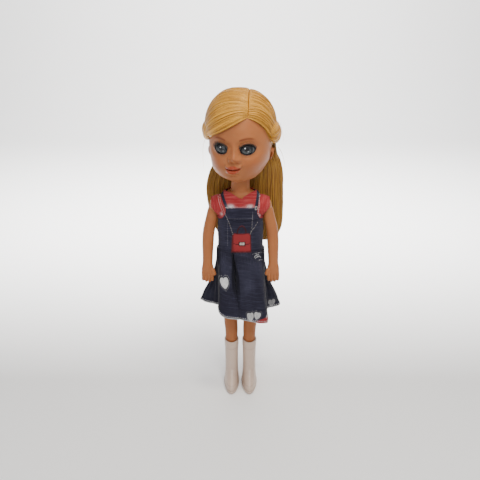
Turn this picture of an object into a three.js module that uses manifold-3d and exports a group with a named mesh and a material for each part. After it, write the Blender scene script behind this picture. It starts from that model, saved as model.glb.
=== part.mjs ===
// A 33 cm play doll: soft vinyl head with inset eyes and rooted hair, two-shell torso, one-piece
// arms and legs, pull-on boots and a printed dress that closes at the back with hook-and-loop tape.
// Millimetres, +Z up. The doll faces -Y, and left and right are the doll's own.
import * as THREE from "three";
import { mergeVertices } from "three/addons/utils/BufferGeometryUtils.js";
import Module from "manifold-3d";

const wasm = await Module();
wasm.setup();

// Driving sizes shared by the whole doll
const fitGap = 0.3; // between pieces that touch or turn on each other
const cutOverrun = 6; // how far a cutter reaches past what it cuts
const hipHeight = 146; // floor to hip axis
const shoulderRise = 67; // hip axis to shoulder axis
const neckBaseRise = 16; // shoulder axis to foot of the neck
const neckLength = 17.5;
const chinDrop = 4.5; // the head's lowest level below the top of the neck
const fingerSegments = 7;
const fingerCapRings = 2;
const facetTolerance = 0.1; // flatter facets than this are joined
const headYaw = -11.5; // degrees, the head looks a little to the doll's right

const shoulderLevel = hipHeight + shoulderRise;
const neckBaseLevel = shoulderLevel + neckBaseRise;
const neckTopLevel = neckBaseLevel + neckLength;
const headBaseLevel = neckTopLevel - chinDrop;

// Materials
const materials = {
  skin: plastic(0xd9a07a, 0.5),
  eye: plastic(0x1a1512, 0.08),
  hair: plastic(0xd9b26a, 0.45),
  elastic: plastic(0xe6d9c0, 0.8),
  blouse: plastic(0xc23a44, 0.85),
  denim: plastic(0x2a3152, 0.9),
  tape: plastic(0xe8e6e2, 0.9),
  boot: plastic(0xe9e2dc, 0.45),
  pin: plastic(0xb8b8b8, 0.4),
};

function plastic(color, roughness) {
  return new THREE.MeshStandardMaterial({ color, roughness, metalness: 0 });
}

// Solids and geometry

// The merged, indexed positions of a geometry, which manifold-3d needs to see it closed.
function welded(geometry) {
  const bare = new THREE.BufferGeometry();
  bare.setAttribute("position", geometry.getAttribute("position").clone());
  if (geometry.index) bare.setIndex(geometry.index.clone());
  return mergeVertices(bare, 1e-3);
}

function solid(geometry) {
  const bare = welded(geometry);
  return new wasm.Manifold(
    new wasm.Mesh({
      numProp: 3,
      vertProperties: new Float32Array(bare.attributes.position.array),
      triVerts: new Uint32Array(bare.index.array),
    }),
  );
}

function geometryOf(made) {
  const mesh = made.simplify(facetTolerance).getMesh();
  const geometry = new THREE.BufferGeometry();
  geometry.setAttribute("position", new THREE.BufferAttribute(mesh.vertProperties, 3));
  geometry.setIndex(new THREE.BufferAttribute(mesh.triVerts, 1));
  geometry.computeVertexNormals();
  return geometry;
}

// The largest body of a solid, without the slivers that a cut can leave.
function mainBody(made) {
  const bodies = made.decompose();
  return bodies.reduce((best, body) => (body.volume() > best.volume() ? body : best));
}

// The same geometry on the doll's other side, with its faces turned to point out again.
function mirrored(geometry) {
  const copy = welded(geometry);
  copy.scale(-1, 1, 1);
  const index = copy.index.array;
  for (let i = 0; i < index.length; i += 3) {
    [index[i + 1], index[i + 2]] = [index[i + 2], index[i + 1]];
  }
  copy.computeVertexNormals();
  return copy;
}

// A closed solid through rings of equal count, listed upwards, each counterclockwise from above.
function skinned(rings) {
  const count = rings[0].length;
  const points = rings.flat();
  const index = [];
  for (let r = 0; r < rings.length - 1; r++) {
    for (let i = 0; i < count; i++) {
      const a = r * count + i;
      const b = r * count + ((i + 1) % count);
      index.push(a, b, b + count, a, b + count, a + count);
    }
  }
  capped(points, index, rings[0], 0, true);
  capped(points, index, rings[rings.length - 1], (rings.length - 1) * count, false);
  return indexed(points, index);
}

// Closes one end of a skinned solid with a fan about the ring's middle.
function capped(points, index, ring, first, downwards) {
  const middle = new THREE.Vector3();
  ring.forEach((p) => middle.add(p));
  middle.divideScalar(ring.length);
  const centre = points.length;
  points.push(middle);
  for (let i = 0; i < ring.length; i++) {
    const a = first + i;
    const b = first + ((i + 1) % ring.length);
    if (downwards) index.push(centre, b, a);
    else index.push(centre, a, b);
  }
}

function indexed(points, index) {
  const geometry = new THREE.BufferGeometry().setFromPoints(points);
  geometry.setIndex(index);
  return geometry;
}

// A closed sheet between two grids of points: outer faces out, inner is the same grid moved inwards.
// Rows run upwards and columns run counterclockwise seen from above.
function thickSheet(outer, inner) {
  const rows = outer.length;
  const columns = outer[0].length;
  const points = [...outer.flat(), ...inner.flat()];
  const shift = rows * columns;
  const at = (r, c) => r * columns + c;
  const index = [];
  const quad = (a, b, c, d) => index.push(a, b, c, a, c, d);
  for (let r = 0; r < rows - 1; r++) {
    for (let c = 0; c < columns - 1; c++) {
      quad(at(r, c), at(r, c + 1), at(r + 1, c + 1), at(r + 1, c));
      quad(
        at(r, c) + shift,
        at(r + 1, c) + shift,
        at(r + 1, c + 1) + shift,
        at(r, c + 1) + shift,
      );
    }
  }
  for (let c = 0; c < columns - 1; c++) {
    quad(at(0, c + 1), at(0, c), at(0, c) + shift, at(0, c + 1) + shift);
    const top = rows - 1;
    quad(at(top, c), at(top, c + 1), at(top, c + 1) + shift, at(top, c) + shift);
  }
  for (let r = 0; r < rows - 1; r++) {
    quad(at(r, 0), at(r + 1, 0), at(r + 1, 0) + shift, at(r, 0) + shift);
    const end = columns - 1;
    quad(at(r + 1, end), at(r, end), at(r, end) + shift, at(r + 1, end) + shift);
  }
  return indexed(points, index);
}

// A level ring about (x, y): half width across, and its own reach to the front and to the back.
function levelRing({ x = 0, y = 0, z, halfWidth, front, back, squareness = 2 }, segments) {
  const ring = [];
  for (let i = 0; i < segments; i++) {
    const angle = (i / segments) * Math.PI * 2;
    const across = rounded(Math.cos(angle), squareness);
    const along = rounded(Math.sin(angle), squareness);
    const reach = along < 0 ? front : back;
    ring.push(new THREE.Vector3(x + halfWidth * across, y + reach * along, z));
  }
  return ring;
}

function rounded(value, squareness) {
  return Math.sign(value) * Math.abs(value) ** (2 / squareness);
}

// One row of a table at a share between its first column's values, on a smooth curve.
function rowAt(table, share) {
  let i = 1;
  while (i < table.length - 1 && table[i][0] < share) i++;
  const [from, to] = [table[i - 1], table[i]];
  const before = table[Math.max(i - 2, 0)];
  const after = table[Math.min(i + 1, table.length - 1)];
  const t = (share - from[0]) / (to[0] - from[0]);
  return from.map((value, column) => {
    if (column === 0) return share;
    const slopeIn = slope(before, from, to, column) * (to[0] - from[0]);
    const slopeOut = slope(from, to, after, column) * (to[0] - from[0]);
    return hermite(value, to[column], slopeIn, slopeOut, t);
  });
}

// The slope at the middle row, flat where the values turn, so that a curve never overshoots.
function slope(before, here, after, column) {
  const into = here[0] === before[0] ? null : (here[column] - before[column]) / (here[0] - before[0]);
  const away = here[0] === after[0] ? null : (after[column] - here[column]) / (after[0] - here[0]);
  if (into === null) return away;
  if (away === null) return into;
  if (into * away <= 0) return 0;
  return (2 * into * away) / (into + away);
}

function hermite(a, b, slopeA, slopeB, t) {
  const t2 = t * t;
  const t3 = t2 * t;
  return (
    a * (2 * t3 - 3 * t2 + 1) +
    slopeA * (t3 - 2 * t2 + t) +
    b * (3 * t2 - 2 * t3) +
    slopeB * (t3 - t2)
  );
}

// A box from one corner to the other.
function block(low, high) {
  const [x, y, z] = high.map((h, k) => h - low[k]);
  const geometry = new THREE.BoxGeometry(x, y, z);
  geometry.translate(...low.map((l, k) => (l + high[k]) / 2));
  return solid(geometry);
}

// A solid turned about the X axis at a level: profile points are [x, radius], from one end to the other.
function turnedAboutX(profile, level, segments) {
  const points = profile.map(([x, radius]) => new THREE.Vector2(radius, x));
  const geometry = new THREE.LatheGeometry(points, segments);
  geometry.rotateZ(-Math.PI / 2);
  geometry.translate(0, 0, level);
  return solid(geometry);
}

// A solid turned about the vertical axis: profile points are [radius, z], upwards.
function turnedAboutZ(profile, segments) {
  const points = profile.map(([radius, z]) => new THREE.Vector2(radius, z));
  const geometry = new THREE.LatheGeometry(points, segments);
  geometry.rotateX(Math.PI / 2);
  return solid(geometry);
}

// An outline in front view, [x, z] points, carried from one y to another.
function frontOutline(points, fromY, toY) {
  const shape = new THREE.Shape(points.map(([x, z]) => new THREE.Vector2(x, z)));
  const geometry = new THREE.ExtrudeGeometry(shape, {
    depth: toY - fromY,
    bevelEnabled: false,
  });
  geometry.rotateX(Math.PI / 2);
  geometry.translate(0, toY, 0);
  return solid(geometry);
}

// A counterclockwise outline moved outwards, each corner along the mean of its edges' normals.
function widened(points, distance) {
  const corners = points.map(([x, z]) => new THREE.Vector2(x, z));
  return corners.map((corner, i) => {
    const before = corners[(i + corners.length - 1) % corners.length];
    const after = corners[(i + 1) % corners.length];
    const into = corner.clone().sub(before).normalize();
    const away = after.clone().sub(corner).normalize();
    const normal = new THREE.Vector2(into.y + away.y, -into.x - away.x).normalize();
    const stretch = Math.max(normal.x * into.y - normal.y * into.x, 1 / 2);
    return [corner.x + (normal.x * distance) / stretch, corner.y + (normal.y * distance) / stretch];
  });
}

function ellipsoid([x, y, z], [rx, ry, rz], segments) {
  const geometry = new THREE.SphereGeometry(1, segments, Math.round(segments * 0.6));
  geometry.rotateX(Math.PI / 2);
  geometry.scale(rx, ry, rz);
  geometry.translate(x, y, z);
  return solid(geometry);
}

// A rod with round ends from one point to another.
function finger(from, to, radius) {
  const start = new THREE.Vector3(...from);
  const end = new THREE.Vector3(...to);
  const length = start.distanceTo(end);
  const geometry = new THREE.CapsuleGeometry(radius, length, fingerCapRings, fingerSegments);
  const turn = new THREE.Quaternion().setFromUnitVectors(
    new THREE.Vector3(0, 1, 0),
    end.clone().sub(start).normalize(),
  );
  geometry.applyQuaternion(turn);
  const middle = start.add(end).multiplyScalar(0.5);
  geometry.translate(middle.x, middle.y, middle.z);
  return solid(geometry);
}

// Head
const headHeight = 82;
const headHalfWidth = 31;
const faceReach = 33.5;
const skullReach = 31;
const headSegments = 26;
const cavitySegments = 12;
const earSegments = 12;
const headWall = 3;
// Rise, then half width and reach to the front and the back
const headShares = [
  [0, 0.32, 0.5, 0.25],
  [0.024, 0.52, 0.66, 0.42],
  [0.073, 0.7, 0.79, 0.58],
  [0.122, 0.8, 0.87, 0.68],
  [0.183, 0.88, 0.935, 0.77],
  [0.268, 0.955, 0.98, 0.86],
  [0.354, 0.993, 1, 0.92],
  [0.463, 1, 1, 0.975],
  [0.585, 0.985, 1, 1],
  [0.707, 0.92, 0.955, 0.985],
  [0.829, 0.775, 0.83, 0.87],
  [0.927, 0.52, 0.59, 0.645],
  [0.976, 0.29, 0.34, 0.38],
  [1, 0.08, 0.1, 0.1],
];
const eyeSpacing = 12.9; // from the middle of the face
const eyeRiseShare = 0.412;
const eyeRadii = [6.6, 4, 4.6];
const eyeBulge = 1;
const noseRiseShare = 0.32;
const noseRadii = [4.4, 5.6, 4];
const noseSinkShare = 0.25;
const lipRiseShare = 0.166;
const lipRadii = [6.3, 3.4, 2.7];
const lipSinkShare = 0.45;
const earRiseShare = 0.3;
const earRadii = [3.2, 4.6, 6.4];
const earSetback = 5;
const earSinkShare = 0.94;
const cavityFloorRise = 8; // head floor above the lowest level of the head

// Neck
const neckRadius = 9.7;
const neckStemRadius = 5.6;
const neckCollarRadius = 8.6;
const neckCollarHeight = 3;
const neckFootRadius = 7.6;
const neckFootHeight = 2.6;
const neckSegments = 20;

// Hair
const hairDepth = 5.5;
const hairSquareness = 2.6;
const hairBaseRise = 10; // lower rim of the crown above the lowest level of the head
const hairlineWidthShare = 0.935;
// The hairline seen from the front: across the head and up it
const hairlineShares = [
  [1.3, -0.2],
  [1.3, 0.47],
  [0.93, 0.52],
  [0.72, 0.62],
  [0.38, 0.735],
  [-0.17, 0.76],
  [-0.6, 0.66],
  [-1, 0.56],
  [-1.3, 0.53],
  [-1.3, -0.2],
];
// The fringe seen from the front, from the parting to the temple
const fringeShares = [
  [0.4, 0.735],
  [0.36, 0.86],
  [0.1, 0.9],
  [-0.35, 0.86],
  [-0.75, 0.75],
  [-1.03, 0.62],
  [-1.02, 0.55],
  [-0.6, 0.65],
  [-0.17, 0.75],
];
const fringeGap = 0.9;
const faceCutY = -6; // the hairline's sides lie this far in front of the neck axis
const gatherRadii = [5.5, 9, 10];
const gatherRiseShare = 0.57;
// Across and back, of the head's half width and the skull's reach
const gatherLeftShares = [1.048, 0.29];
const gatherRightShares = [-0.887, -0.516];
const gatherSegments = 14;

const backHairLength = 86;
const backHairHalfWidth = 41;
const backHairThickness = 20;
// Rise from the tips, then right and left edges, distance behind the dress and thickness
const backHairShares = [
  [0, -0.34, 0.54, 0.25, 0.13],
  [0.04, -0.46, 0.64, 0.22, 0.18],
  [0.2, -0.61, 0.88, 0.12, 0.23],
  [0.45, -0.8, 0.98, 0.03, 0.28],
  [0.7, -0.88, 1, 0, 0.38],
  [0.88, -0.8, 0.88, -0.05, 0.66],
  [0.97, -0.72, 0.78, -0.2, 0.9],
  [1, -0.68, 0.72, -0.25, 0.95],
];

const headLevel = (share) => headBaseLevel + headHeight * share;

// The head's outer form, swollen by grow on every side.
function headForm(grow, segments) {
  const rings = headShares.map(([rise, width, front, back]) =>
    levelRing(
      {
        z: headBaseLevel - Math.min(grow, 0) + (headHeight + grow + Math.min(grow, 0)) * rise,
        halfWidth: Math.max(headHalfWidth * width + grow, fitGap),
        front: Math.max(faceReach * front + grow, fitGap),
        back: Math.max(skullReach * back + grow, fitGap),
      },
      segments,
    ),
  );
  return solid(skinned(rings));
}

function faceDepthAt(x, riseShare) {
  const [, width, front] = rowAt(headShares, riseShare);
  const across = x / (headHalfWidth * width);
  return -faceReach * front * Math.sqrt(Math.max(1 - across * across, 0));
}

function eyeCentre(side) {
  const front = faceDepthAt(eyeSpacing, eyeRiseShare);
  return [side * eyeSpacing, front - eyeBulge + eyeRadii[1], headLevel(eyeRiseShare)];
}

const eyeSegments = 16;

function makeEye(side) {
  return ellipsoid(eyeCentre(side), eyeRadii, eyeSegments);
}

function makeHead() {
  const nose = ellipsoid(
    [0, faceDepthAt(0, noseRiseShare) + noseRadii[1] * noseSinkShare, headLevel(noseRiseShare)],
    noseRadii,
    earSegments,
  );
  const lips = ellipsoid(
    [0, faceDepthAt(0, lipRiseShare) + lipRadii[1] * lipSinkShare, headLevel(lipRiseShare)],
    lipRadii,
    earSegments,
  );
  const ears = [-1, 1].map((side) =>
    ellipsoid([side * headHalfWidth * earSinkShare, earSetback, headLevel(earRiseShare)], earRadii, earSegments),
  );
  const outer = headForm(0, headSegments).add(nose).add(lips).add(ears[0]).add(ears[1]);
  const floorLevel = headBaseLevel + cavityFloorRise;
  const aboveFloor = block(
    [-headHalfWidth, -faceReach, floorLevel],
    [headHalfWidth, skullReach, floorLevel + headHeight],
  );
  const cavity = headForm(-headWall, cavitySegments).intersect(aboveFloor);
  const neckHole = turnedAboutZ(
    [
      [0, headBaseLevel - cutOverrun],
      [neckRadius + fitGap, headBaseLevel - cutOverrun],
      [neckRadius + fitGap, neckTopLevel + fitGap],
      [neckStemRadius + fitGap, neckTopLevel + fitGap],
      [neckStemRadius + fitGap, floorLevel + headWall],
      [0, floorLevel + headWall],
    ],
    neckSegments,
  );
  const sockets = [-1, 1].map((side) =>
    ellipsoid(
      eyeCentre(side),
      eyeRadii.map((r) => r + fitGap),
      eyeSegments,
    ),
  );
  return outer.subtract(cavity).subtract(neckHole).subtract(sockets[0]).subtract(sockets[1]);
}

function makeNeck() {
  const collarLevel = headBaseLevel + cavityFloorRise + fitGap;
  return turnedAboutZ(
    [
      [0, neckBaseLevel - neckFootHeight - torsoWall - fitGap],
      [neckFootRadius, neckBaseLevel - neckFootHeight - torsoWall - fitGap],
      [neckFootRadius, neckBaseLevel - torsoWall - fitGap],
      [neckStemRadius, neckBaseLevel - torsoWall - fitGap],
      [neckStemRadius, neckBaseLevel + fitGap],
      [neckRadius, neckBaseLevel + fitGap],
      [neckRadius, neckTopLevel],
      [neckStemRadius, neckTopLevel],
      [neckStemRadius, collarLevel],
      [neckCollarRadius, collarLevel],
      [neckCollarRadius, collarLevel + neckCollarHeight],
      [0, collarLevel + neckCollarHeight],
    ],
    neckSegments,
  );
}

function headOutline(shares) {
  return shares.map(([across, rise]) => [
    across * headHalfWidth * hairlineWidthShare,
    headLevel(rise),
  ]);
}

function hairCap() {
  const scalp = headForm(fitGap, headSegments);
  const aboveRim = block(
    [-headHalfWidth * 2, -faceReach * 2, headBaseLevel + hairBaseRise],
    [headHalfWidth * 2, skullReach * 2, headBaseLevel + headHeight * 2],
  );
  const face = frontOutline(headOutline(hairlineShares), -faceReach * 2, faceCutY);
  const earRoom = [-1, 1].map((side) =>
    ellipsoid(
      [side * headHalfWidth * earSinkShare, earSetback, headLevel(earRiseShare)],
      earRadii.map((r) => r + fitGap + hairDepth / 3),
      earSegments,
    ),
  );
  return headForm(hairDepth, headSegments)
    .subtract(scalp)
    .intersect(aboveRim)
    .subtract(face)
    .subtract(earRoom[0])
    .subtract(earRoom[1]);
}

function fringeBlock(grow) {
  return frontOutline(widened(headOutline(fringeShares), grow), -faceReach * 2, grow);
}

function gatherForm([x, y], grow) {
  return ellipsoid(
    [x * headHalfWidth, y * skullReach, headLevel(gatherRiseShare)],
    gatherRadii.map((r) => r + grow),
    gatherSegments,
  );
}

function makeHair() {
  const scalp = headForm(fitGap, headSegments);
  const cap = hairCap();
  const fringeOuter = headForm(hairDepth * 0.85, headSegments).subtract(scalp);
  const crown = cap
    .subtract(fringeBlock(fringeGap))
    .subtract(gatherForm(gatherLeftShares, fitGap))
    .subtract(gatherForm(gatherRightShares, fitGap));
  return {
    crown,
    fringe: fringeOuter.intersect(fringeBlock(0)).subtract(gatherForm(gatherRightShares, fitGap)),
    gatherLeft: gatherForm(gatherLeftShares, 0).subtract(scalp),
    gatherRight: gatherForm(gatherRightShares, 0).subtract(scalp),
  };
}

function makeBackHair() {
  const top = headBaseLevel + hairBaseRise - fitGap;
  const front = backReach + overTapes + clothThickness + 3 * fitGap;
  const rings = backHairShares.map(([rise, right, left, behind, thickness]) =>
    levelRing(
      {
        x: (backHairHalfWidth * (left + right)) / 2,
        y: front + backHairThickness * (behind + thickness / 2),
        z: top - backHairLength * (1 - rise),
        halfWidth: (backHairHalfWidth * (left - right)) / 2,
        front: (backHairThickness * thickness) / 2,
        back: (backHairThickness * thickness) / 2,
        squareness: hairSquareness,
      },
      headSegments,
    ),
  );
  return solid(skinned(rings)).subtract(headForm(fitGap, headSegments).rotate([0, 0, headYaw]));
}

// Torso
const torsoHalfWidth = 21.8;
const chestReach = 13.5;
const backReach = 12;
const torsoWall = 2;
const torsoSegments = 28;
const torsoShares = [
  [0, 0.95, 0.93, 0.95],
  [0.1, 0.985, 1, 1],
  [0.25, 0.97, 0.97, 0.93],
  [0.42, 0.985, 1, 0.95],
  [0.6, 1, 1, 1],
  [0.78, 0.965, 0.92, 0.97],
  [0.88, 0.91, 0.86, 0.92],
  [0.94, 0.8, 0.8, 0.87],
  [0.98, 0.66, 0.75, 0.83],
  [1, 0.53, 0.72, 0.8],
];
const slopeShare = 0.7; // above this the torso slopes in to the neck
const torsoSquareness = 2.5;
const pelvisHalfWidth = 8;
const pelvisRadiusShare = 0.955; // of the hip discs beside it
const hipDiscRadius = 11;
const pelvisHalfDepth = 8;

const torsoBaseLevel = hipHeight + hipDiscRadius + fitGap;
const torsoHeight = neckBaseLevel - torsoBaseLevel;

function torsoPoint(riseShare, angle, grow) {
  const [, width, front, back] = rowAt(torsoShares, riseShare);
  const across = rounded(Math.cos(angle), torsoSquareness);
  const along = rounded(Math.sin(angle), torsoSquareness);
  const reach = along < 0 ? chestReach * front : backReach * back;
  return new THREE.Vector3(
    (torsoHalfWidth * width + grow) * across,
    (reach + grow) * along,
    torsoBaseLevel + torsoHeight * riseShare + grow * THREE.MathUtils.smoothstep(riseShare, slopeShare, 1),
  );
}

function torsoForm(grow) {
  const rings = torsoShares.map(([rise]) => {
    const ring = [];
    for (let i = 0; i < torsoSegments; i++) {
      const point = torsoPoint(rise, (i / torsoSegments) * Math.PI * 2, grow);
      point.z = torsoBaseLevel - grow + (torsoHeight + 2 * grow) * rise;
      ring.push(point);
    }
    return ring;
  });
  const pelvis = turnedAboutX(
    [
      [-pelvisHalfWidth - grow, 0],
      [-pelvisHalfWidth - grow, hipDiscRadius * pelvisRadiusShare + grow],
      [pelvisHalfWidth + grow, hipDiscRadius * pelvisRadiusShare + grow],
      [pelvisHalfWidth + grow, 0],
    ],
    hipHeight,
    torsoSegments,
  );
  const bridge = block(
    [-pelvisHalfWidth - grow, -pelvisHalfDepth - grow, hipHeight],
    [pelvisHalfWidth + grow, pelvisHalfDepth + grow, torsoBaseLevel + torsoWall * 2],
  );
  return solid(skinned(rings)).add(pelvis).add(bridge);
}

// One half of the torso: side -1 is the front, 1 the back.
function makeTorsoHalf(side) {
  const far = torsoHalfWidth * 3;
  const halfSpace =
    side < 0
      ? block([-far, -far, 0], [far, -fitGap / 2, neckTopLevel])
      : block([-far, fitGap / 2, 0], [far, far, neckTopLevel]);
  const armHole = turnedAboutX(
    [
      [-far, 0],
      [-far, armStemRadius + fitGap],
      [far, armStemRadius + fitGap],
      [far, 0],
    ],
    shoulderLevel,
    stemSegments,
  );
  const legHole = turnedAboutX(
    [
      [-far, 0],
      [-far, legStemRadius + fitGap],
      [far, legStemRadius + fitGap],
      [far, 0],
    ],
    hipHeight,
    stemSegments,
  );
  const neckHole = turnedAboutZ(
    [
      [0, neckBaseLevel - cutOverrun],
      [neckStemRadius + fitGap, neckBaseLevel - cutOverrun],
      [neckStemRadius + fitGap, neckBaseLevel + cutOverrun],
      [0, neckBaseLevel + cutOverrun],
    ],
    neckSegments,
  );
  return torsoForm(0)
    .subtract(torsoForm(-torsoWall))
    .subtract(armHole)
    .subtract(legHole)
    .subtract(neckHole)
    .intersect(halfSpace);
}

// Arms
const armLength = 76; // shoulder axis to the root of the fingers
const armSpread = 7.8;
const armForward = 9;
const armHalfWidth = 5.2;
const armSegments = 14;
const armStemRadius = 2.6;
const armStemEndShare = 0.6; // of the torso's half width
const armCollarRadius = 4.4;
const armCollarWidth = 2.5;
const stemSegments = 14;
// Rise from the finger roots, then sideways, forwards, half width and half depth
const armShares = [
  [0, 1, 1, 1.15, 0.46],
  [0.02, 1, 1, 1.32, 0.58],
  [0.079, 1, 0.95, 1.28, 0.65],
  [0.13, 1, 0.88, 0.98, 0.72],
  [0.184, 1, 0.78, 0.79, 0.76],
  [0.3, 0.96, 0.55, 0.88, 0.88],
  [0.434, 0.94, 0.35, 0.95, 0.94],
  [0.58, 0.87, 0.15, 0.97, 0.97],
  [0.7, 0.67, 0.06, 0.98, 0.98],
  [0.84, 0.32, 0, 0.99, 0.99],
  [0.947, 0.1, 0, 1.02, 1.02],
  [1, 0, 0, 1.02, 1.02],
];
const shoulderInnerX = torsoHalfWidth + 1.5 * fitGap;
const shoulderRadius = 7.8;
// The shoulder knob: outwards, then radius
const shoulderShares = [
  [0, 0],
  [0, 0.64],
  [0.16, 0.9],
  [0.4, 1],
  [0.66, 0.95],
  [0.88, 0.72],
  [0.98, 0.4],
  [1, 0],
];
const shoulderWidth = 10.9;
const armRootShare = 0.43; // of the shoulder knob's width
const armRootX = shoulderInnerX + shoulderWidth * armRootShare;
const armStemEnd = torsoHalfWidth * armStemEndShare;
const fingerRadius = 1.65;
const fingerSpacing = 3.25;
const fingerLength = 7.5;
const fingerLengthShares = [0.8, 1, 0.95, 0.72];
const thumbRadius = 1.8;
// Thumb root and tip: inwards in finger spacings, forwards and up in finger lengths
const thumbShares = [
  [1.66, 0.03, 1],
  [2.6, 0.2, 0.3],
];

function makeArm() {
  const bottom = shoulderLevel - armLength;
  const rings = armShares.map(([rise, across, forward, width, depth]) =>
    levelRing(
      {
        x: armRootX + armSpread * across,
        y: -armForward * forward,
        z: bottom + armLength * rise,
        halfWidth: armHalfWidth * width,
        front: armHalfWidth * depth,
        back: armHalfWidth * depth,
      },
      armSegments,
    ),
  );
  const knob = turnedAboutX(
    shoulderShares.map(([out, radius]) => [
      shoulderInnerX + shoulderWidth * out,
      shoulderRadius * radius,
    ]),
    shoulderLevel,
    torsoSegments / 2,
  );
  const stem = turnedAboutX(
    [
      [armStemEnd, 0],
      [armStemEnd, armCollarRadius],
      [armStemEnd + armCollarWidth, armCollarRadius],
      [armStemEnd + armCollarWidth, armStemRadius],
      [shoulderInnerX + armCollarWidth, armStemRadius],
      [shoulderInnerX + armCollarWidth, 0],
    ],
    shoulderLevel,
    stemSegments,
  );
  let arm = solid(skinned(rings)).add(knob).add(stem);
  fingerLengthShares.forEach((lengthShare, i) => {
    const x = armRootX + armSpread + (i - 1.5) * fingerSpacing;
    const root = bottom + fingerRadius;
    const tip = bottom - fingerLength * lengthShare;
    arm = arm.add(finger([x, -armForward, root], [x, -armForward + fingerRadius / 2, tip], fingerRadius));
  });
  const [thumbRoot, thumbTip] = thumbShares.map(([inwards, forwards, up]) => [
    armRootX + armSpread - fingerSpacing * inwards,
    -armForward - fingerLength * forwards,
    bottom + fingerLength * up,
  ]);
  return geometryOf(arm.add(finger(thumbRoot, thumbTip, thumbRadius)));
}

// Boots and legs
const bootHeight = 55;
const bootHalfWidth = 8.6;
const bootFront = 28.5;
const bootBack = 13;
const bootWall = 1.2;
const soleThickness = 3;
const ankleX = 10;
const bootSegments = 18;
const bootShares = [
  [0, 0.93, 0.95, 0.92],
  [0.05, 1, 1, 1],
  [0.14, 0.98, 0.98, 0.97],
  [0.23, 0.91, 0.8, 0.89],
  [0.32, 0.86, 0.56, 0.83],
  [0.44, 0.83, 0.38, 0.77],
  [0.62, 0.82, 0.31, 0.73],
  [0.84, 0.84, 0.3, 0.72],
  [1, 0.86, 0.3, 0.71],
];
const legHalfWidth = 8.8;
const legSegments = 18;
// Rise from floor to hip, then inwards from hip to ankle, half width and half depth
const legShares = [
  [0.45, 1, 0.74, 0.82],
  [0.535, 0.83, 0.78, 0.86],
  [0.62, 0.74, 0.83, 0.9],
  [0.7, 0.62, 0.9, 0.96],
  [0.8, 0.42, 0.97, 1.02],
  [0.88, 0.22, 0.93, 1.05],
  [0.932, 0, 0.71, 1.06],
  [1, 0, 0.7, 0.9],
];
const hipDiscInnerX = pelvisHalfWidth + fitGap;
const hipDiscWidth = 12.5;
const hipX = hipDiscInnerX + hipDiscWidth / 2;
const hipDiscShares = [
  [0, 0],
  [0, 0.93],
  [0.08, 1],
  [0.7, 1],
  [0.92, 0.85],
  [1, 0.6],
  [1, 0],
];
const legStemRadius = 3;
const legCollarRadius = 5;
const legCollarWidth = 2.6;
const legStemEnd = pelvisHalfWidth - torsoWall - fitGap - legCollarWidth;

function bootRing([rise, width, front, back], inset, level) {
  return levelRing(
    {
      x: ankleX,
      z: level ?? bootHeight * rise,
      halfWidth: bootHalfWidth * width - inset,
      front: bootFront * front - inset,
      back: bootBack * back - inset,
    },
    bootSegments,
  );
}

function footRings(inset, floor) {
  const rows = bootShares.filter(([rise]) => bootHeight * rise > floor + soleThickness / 2);
  const first = rowAt(bootShares, (floor + soleThickness / 2) / bootHeight);
  return [
    bootRing(first, inset + soleThickness / 2, floor),
    bootRing(first, inset),
    ...rows.map((row) => bootRing(row, inset)),
  ];
}

function makeBoot() {
  const outer = solid(skinned(bootShares.map((row) => bootRing(row, 0))));
  const rings = footRings(bootWall, soleThickness);
  rings.push(bootRing(bootShares[bootShares.length - 1], bootWall, bootHeight + cutOverrun));
  return geometryOf(outer.subtract(solid(skinned(rings))));
}

function makeLeg() {
  const rings = footRings(bootWall + fitGap, soleThickness + fitGap);
  legShares.forEach(([rise, inwards, width, depth]) => {
    rings.push(
      levelRing(
        {
          x: hipX + (ankleX - hipX) * inwards,
          z: hipHeight * rise,
          halfWidth: legHalfWidth * width,
          front: legHalfWidth * depth,
          back: legHalfWidth * depth,
        },
        legSegments,
      ),
    );
  });
  const disc = turnedAboutX(
    hipDiscShares.map(([out, radius]) => [
      hipDiscInnerX + hipDiscWidth * out,
      hipDiscRadius * radius,
    ]),
    hipHeight,
    torsoSegments,
  );
  const stem = turnedAboutX(
    [
      [legStemEnd, 0],
      [legStemEnd, legCollarRadius],
      [legStemEnd + legCollarWidth, legCollarRadius],
      [legStemEnd + legCollarWidth, legStemRadius],
      [hipDiscInnerX + legCollarWidth, legStemRadius],
      [hipDiscInnerX + legCollarWidth, 0],
    ],
    hipHeight,
    stemSegments,
  );
  return geometryOf(solid(skinned(rings)).add(disc).add(stem));
}

// Dress
const clothThickness = 1;
const skirtThickness = 1.2;
const waistRise = 21; // hip axis to the foot of the skirt's waist seam
const seamOverlap = 2.5;
const necklineShares = [
  [-0.62, 1.06],
  [-0.62, 1.01],
  [0.04, 0.925],
  [0.62, 1.01],
  [0.62, 1.06],
];
const neckOpeningEase = 1.9;
const neckOpeningRadius = neckRadius + neckOpeningEase;
const sleeveRootShare = 0.85; // of the torso's half width
const armholeRadius = shoulderRadius + 3 * fitGap;
const sleeveInnerX = torsoHalfWidth * sleeveRootShare;
const sleeveOuterX = 29.6;
const sleeveRise = 1.9; // towards the neck
const sleeveTipRadius = shoulderRadius + 2 * fitGap + clothThickness;
const sleeveRootRadius = sleeveTipRadius + sleeveRise;
const sleeveFloorShare = 0.96; // of the shoulder knob's radius
const waistLevel = hipHeight + waistRise;
const waistShare = (waistLevel - torsoBaseLevel) / torsoHeight;
const bodiceBottomShare = (waistLevel - seamOverlap - torsoBaseLevel) / torsoHeight;
const tapeThickness = 0.8;
const tapeHalfWidth = 4;
const tapeShares = [0.2, 0.86];
const closureOverlap = 5; // how far each back reaches past the middle

// A skin on the torso between two angles (radians, 0 at the doll's left, rising to the back).
function torsoSkin(angles, riseShares, growAt, thickness) {
  const grid = (extra) =>
    riseShares.map((rise) => angles.map((angle) => torsoPoint(rise, angle, growAt(angle) + extra)));
  return solid(thickSheet(grid(thickness), grid(0)));
}

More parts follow.
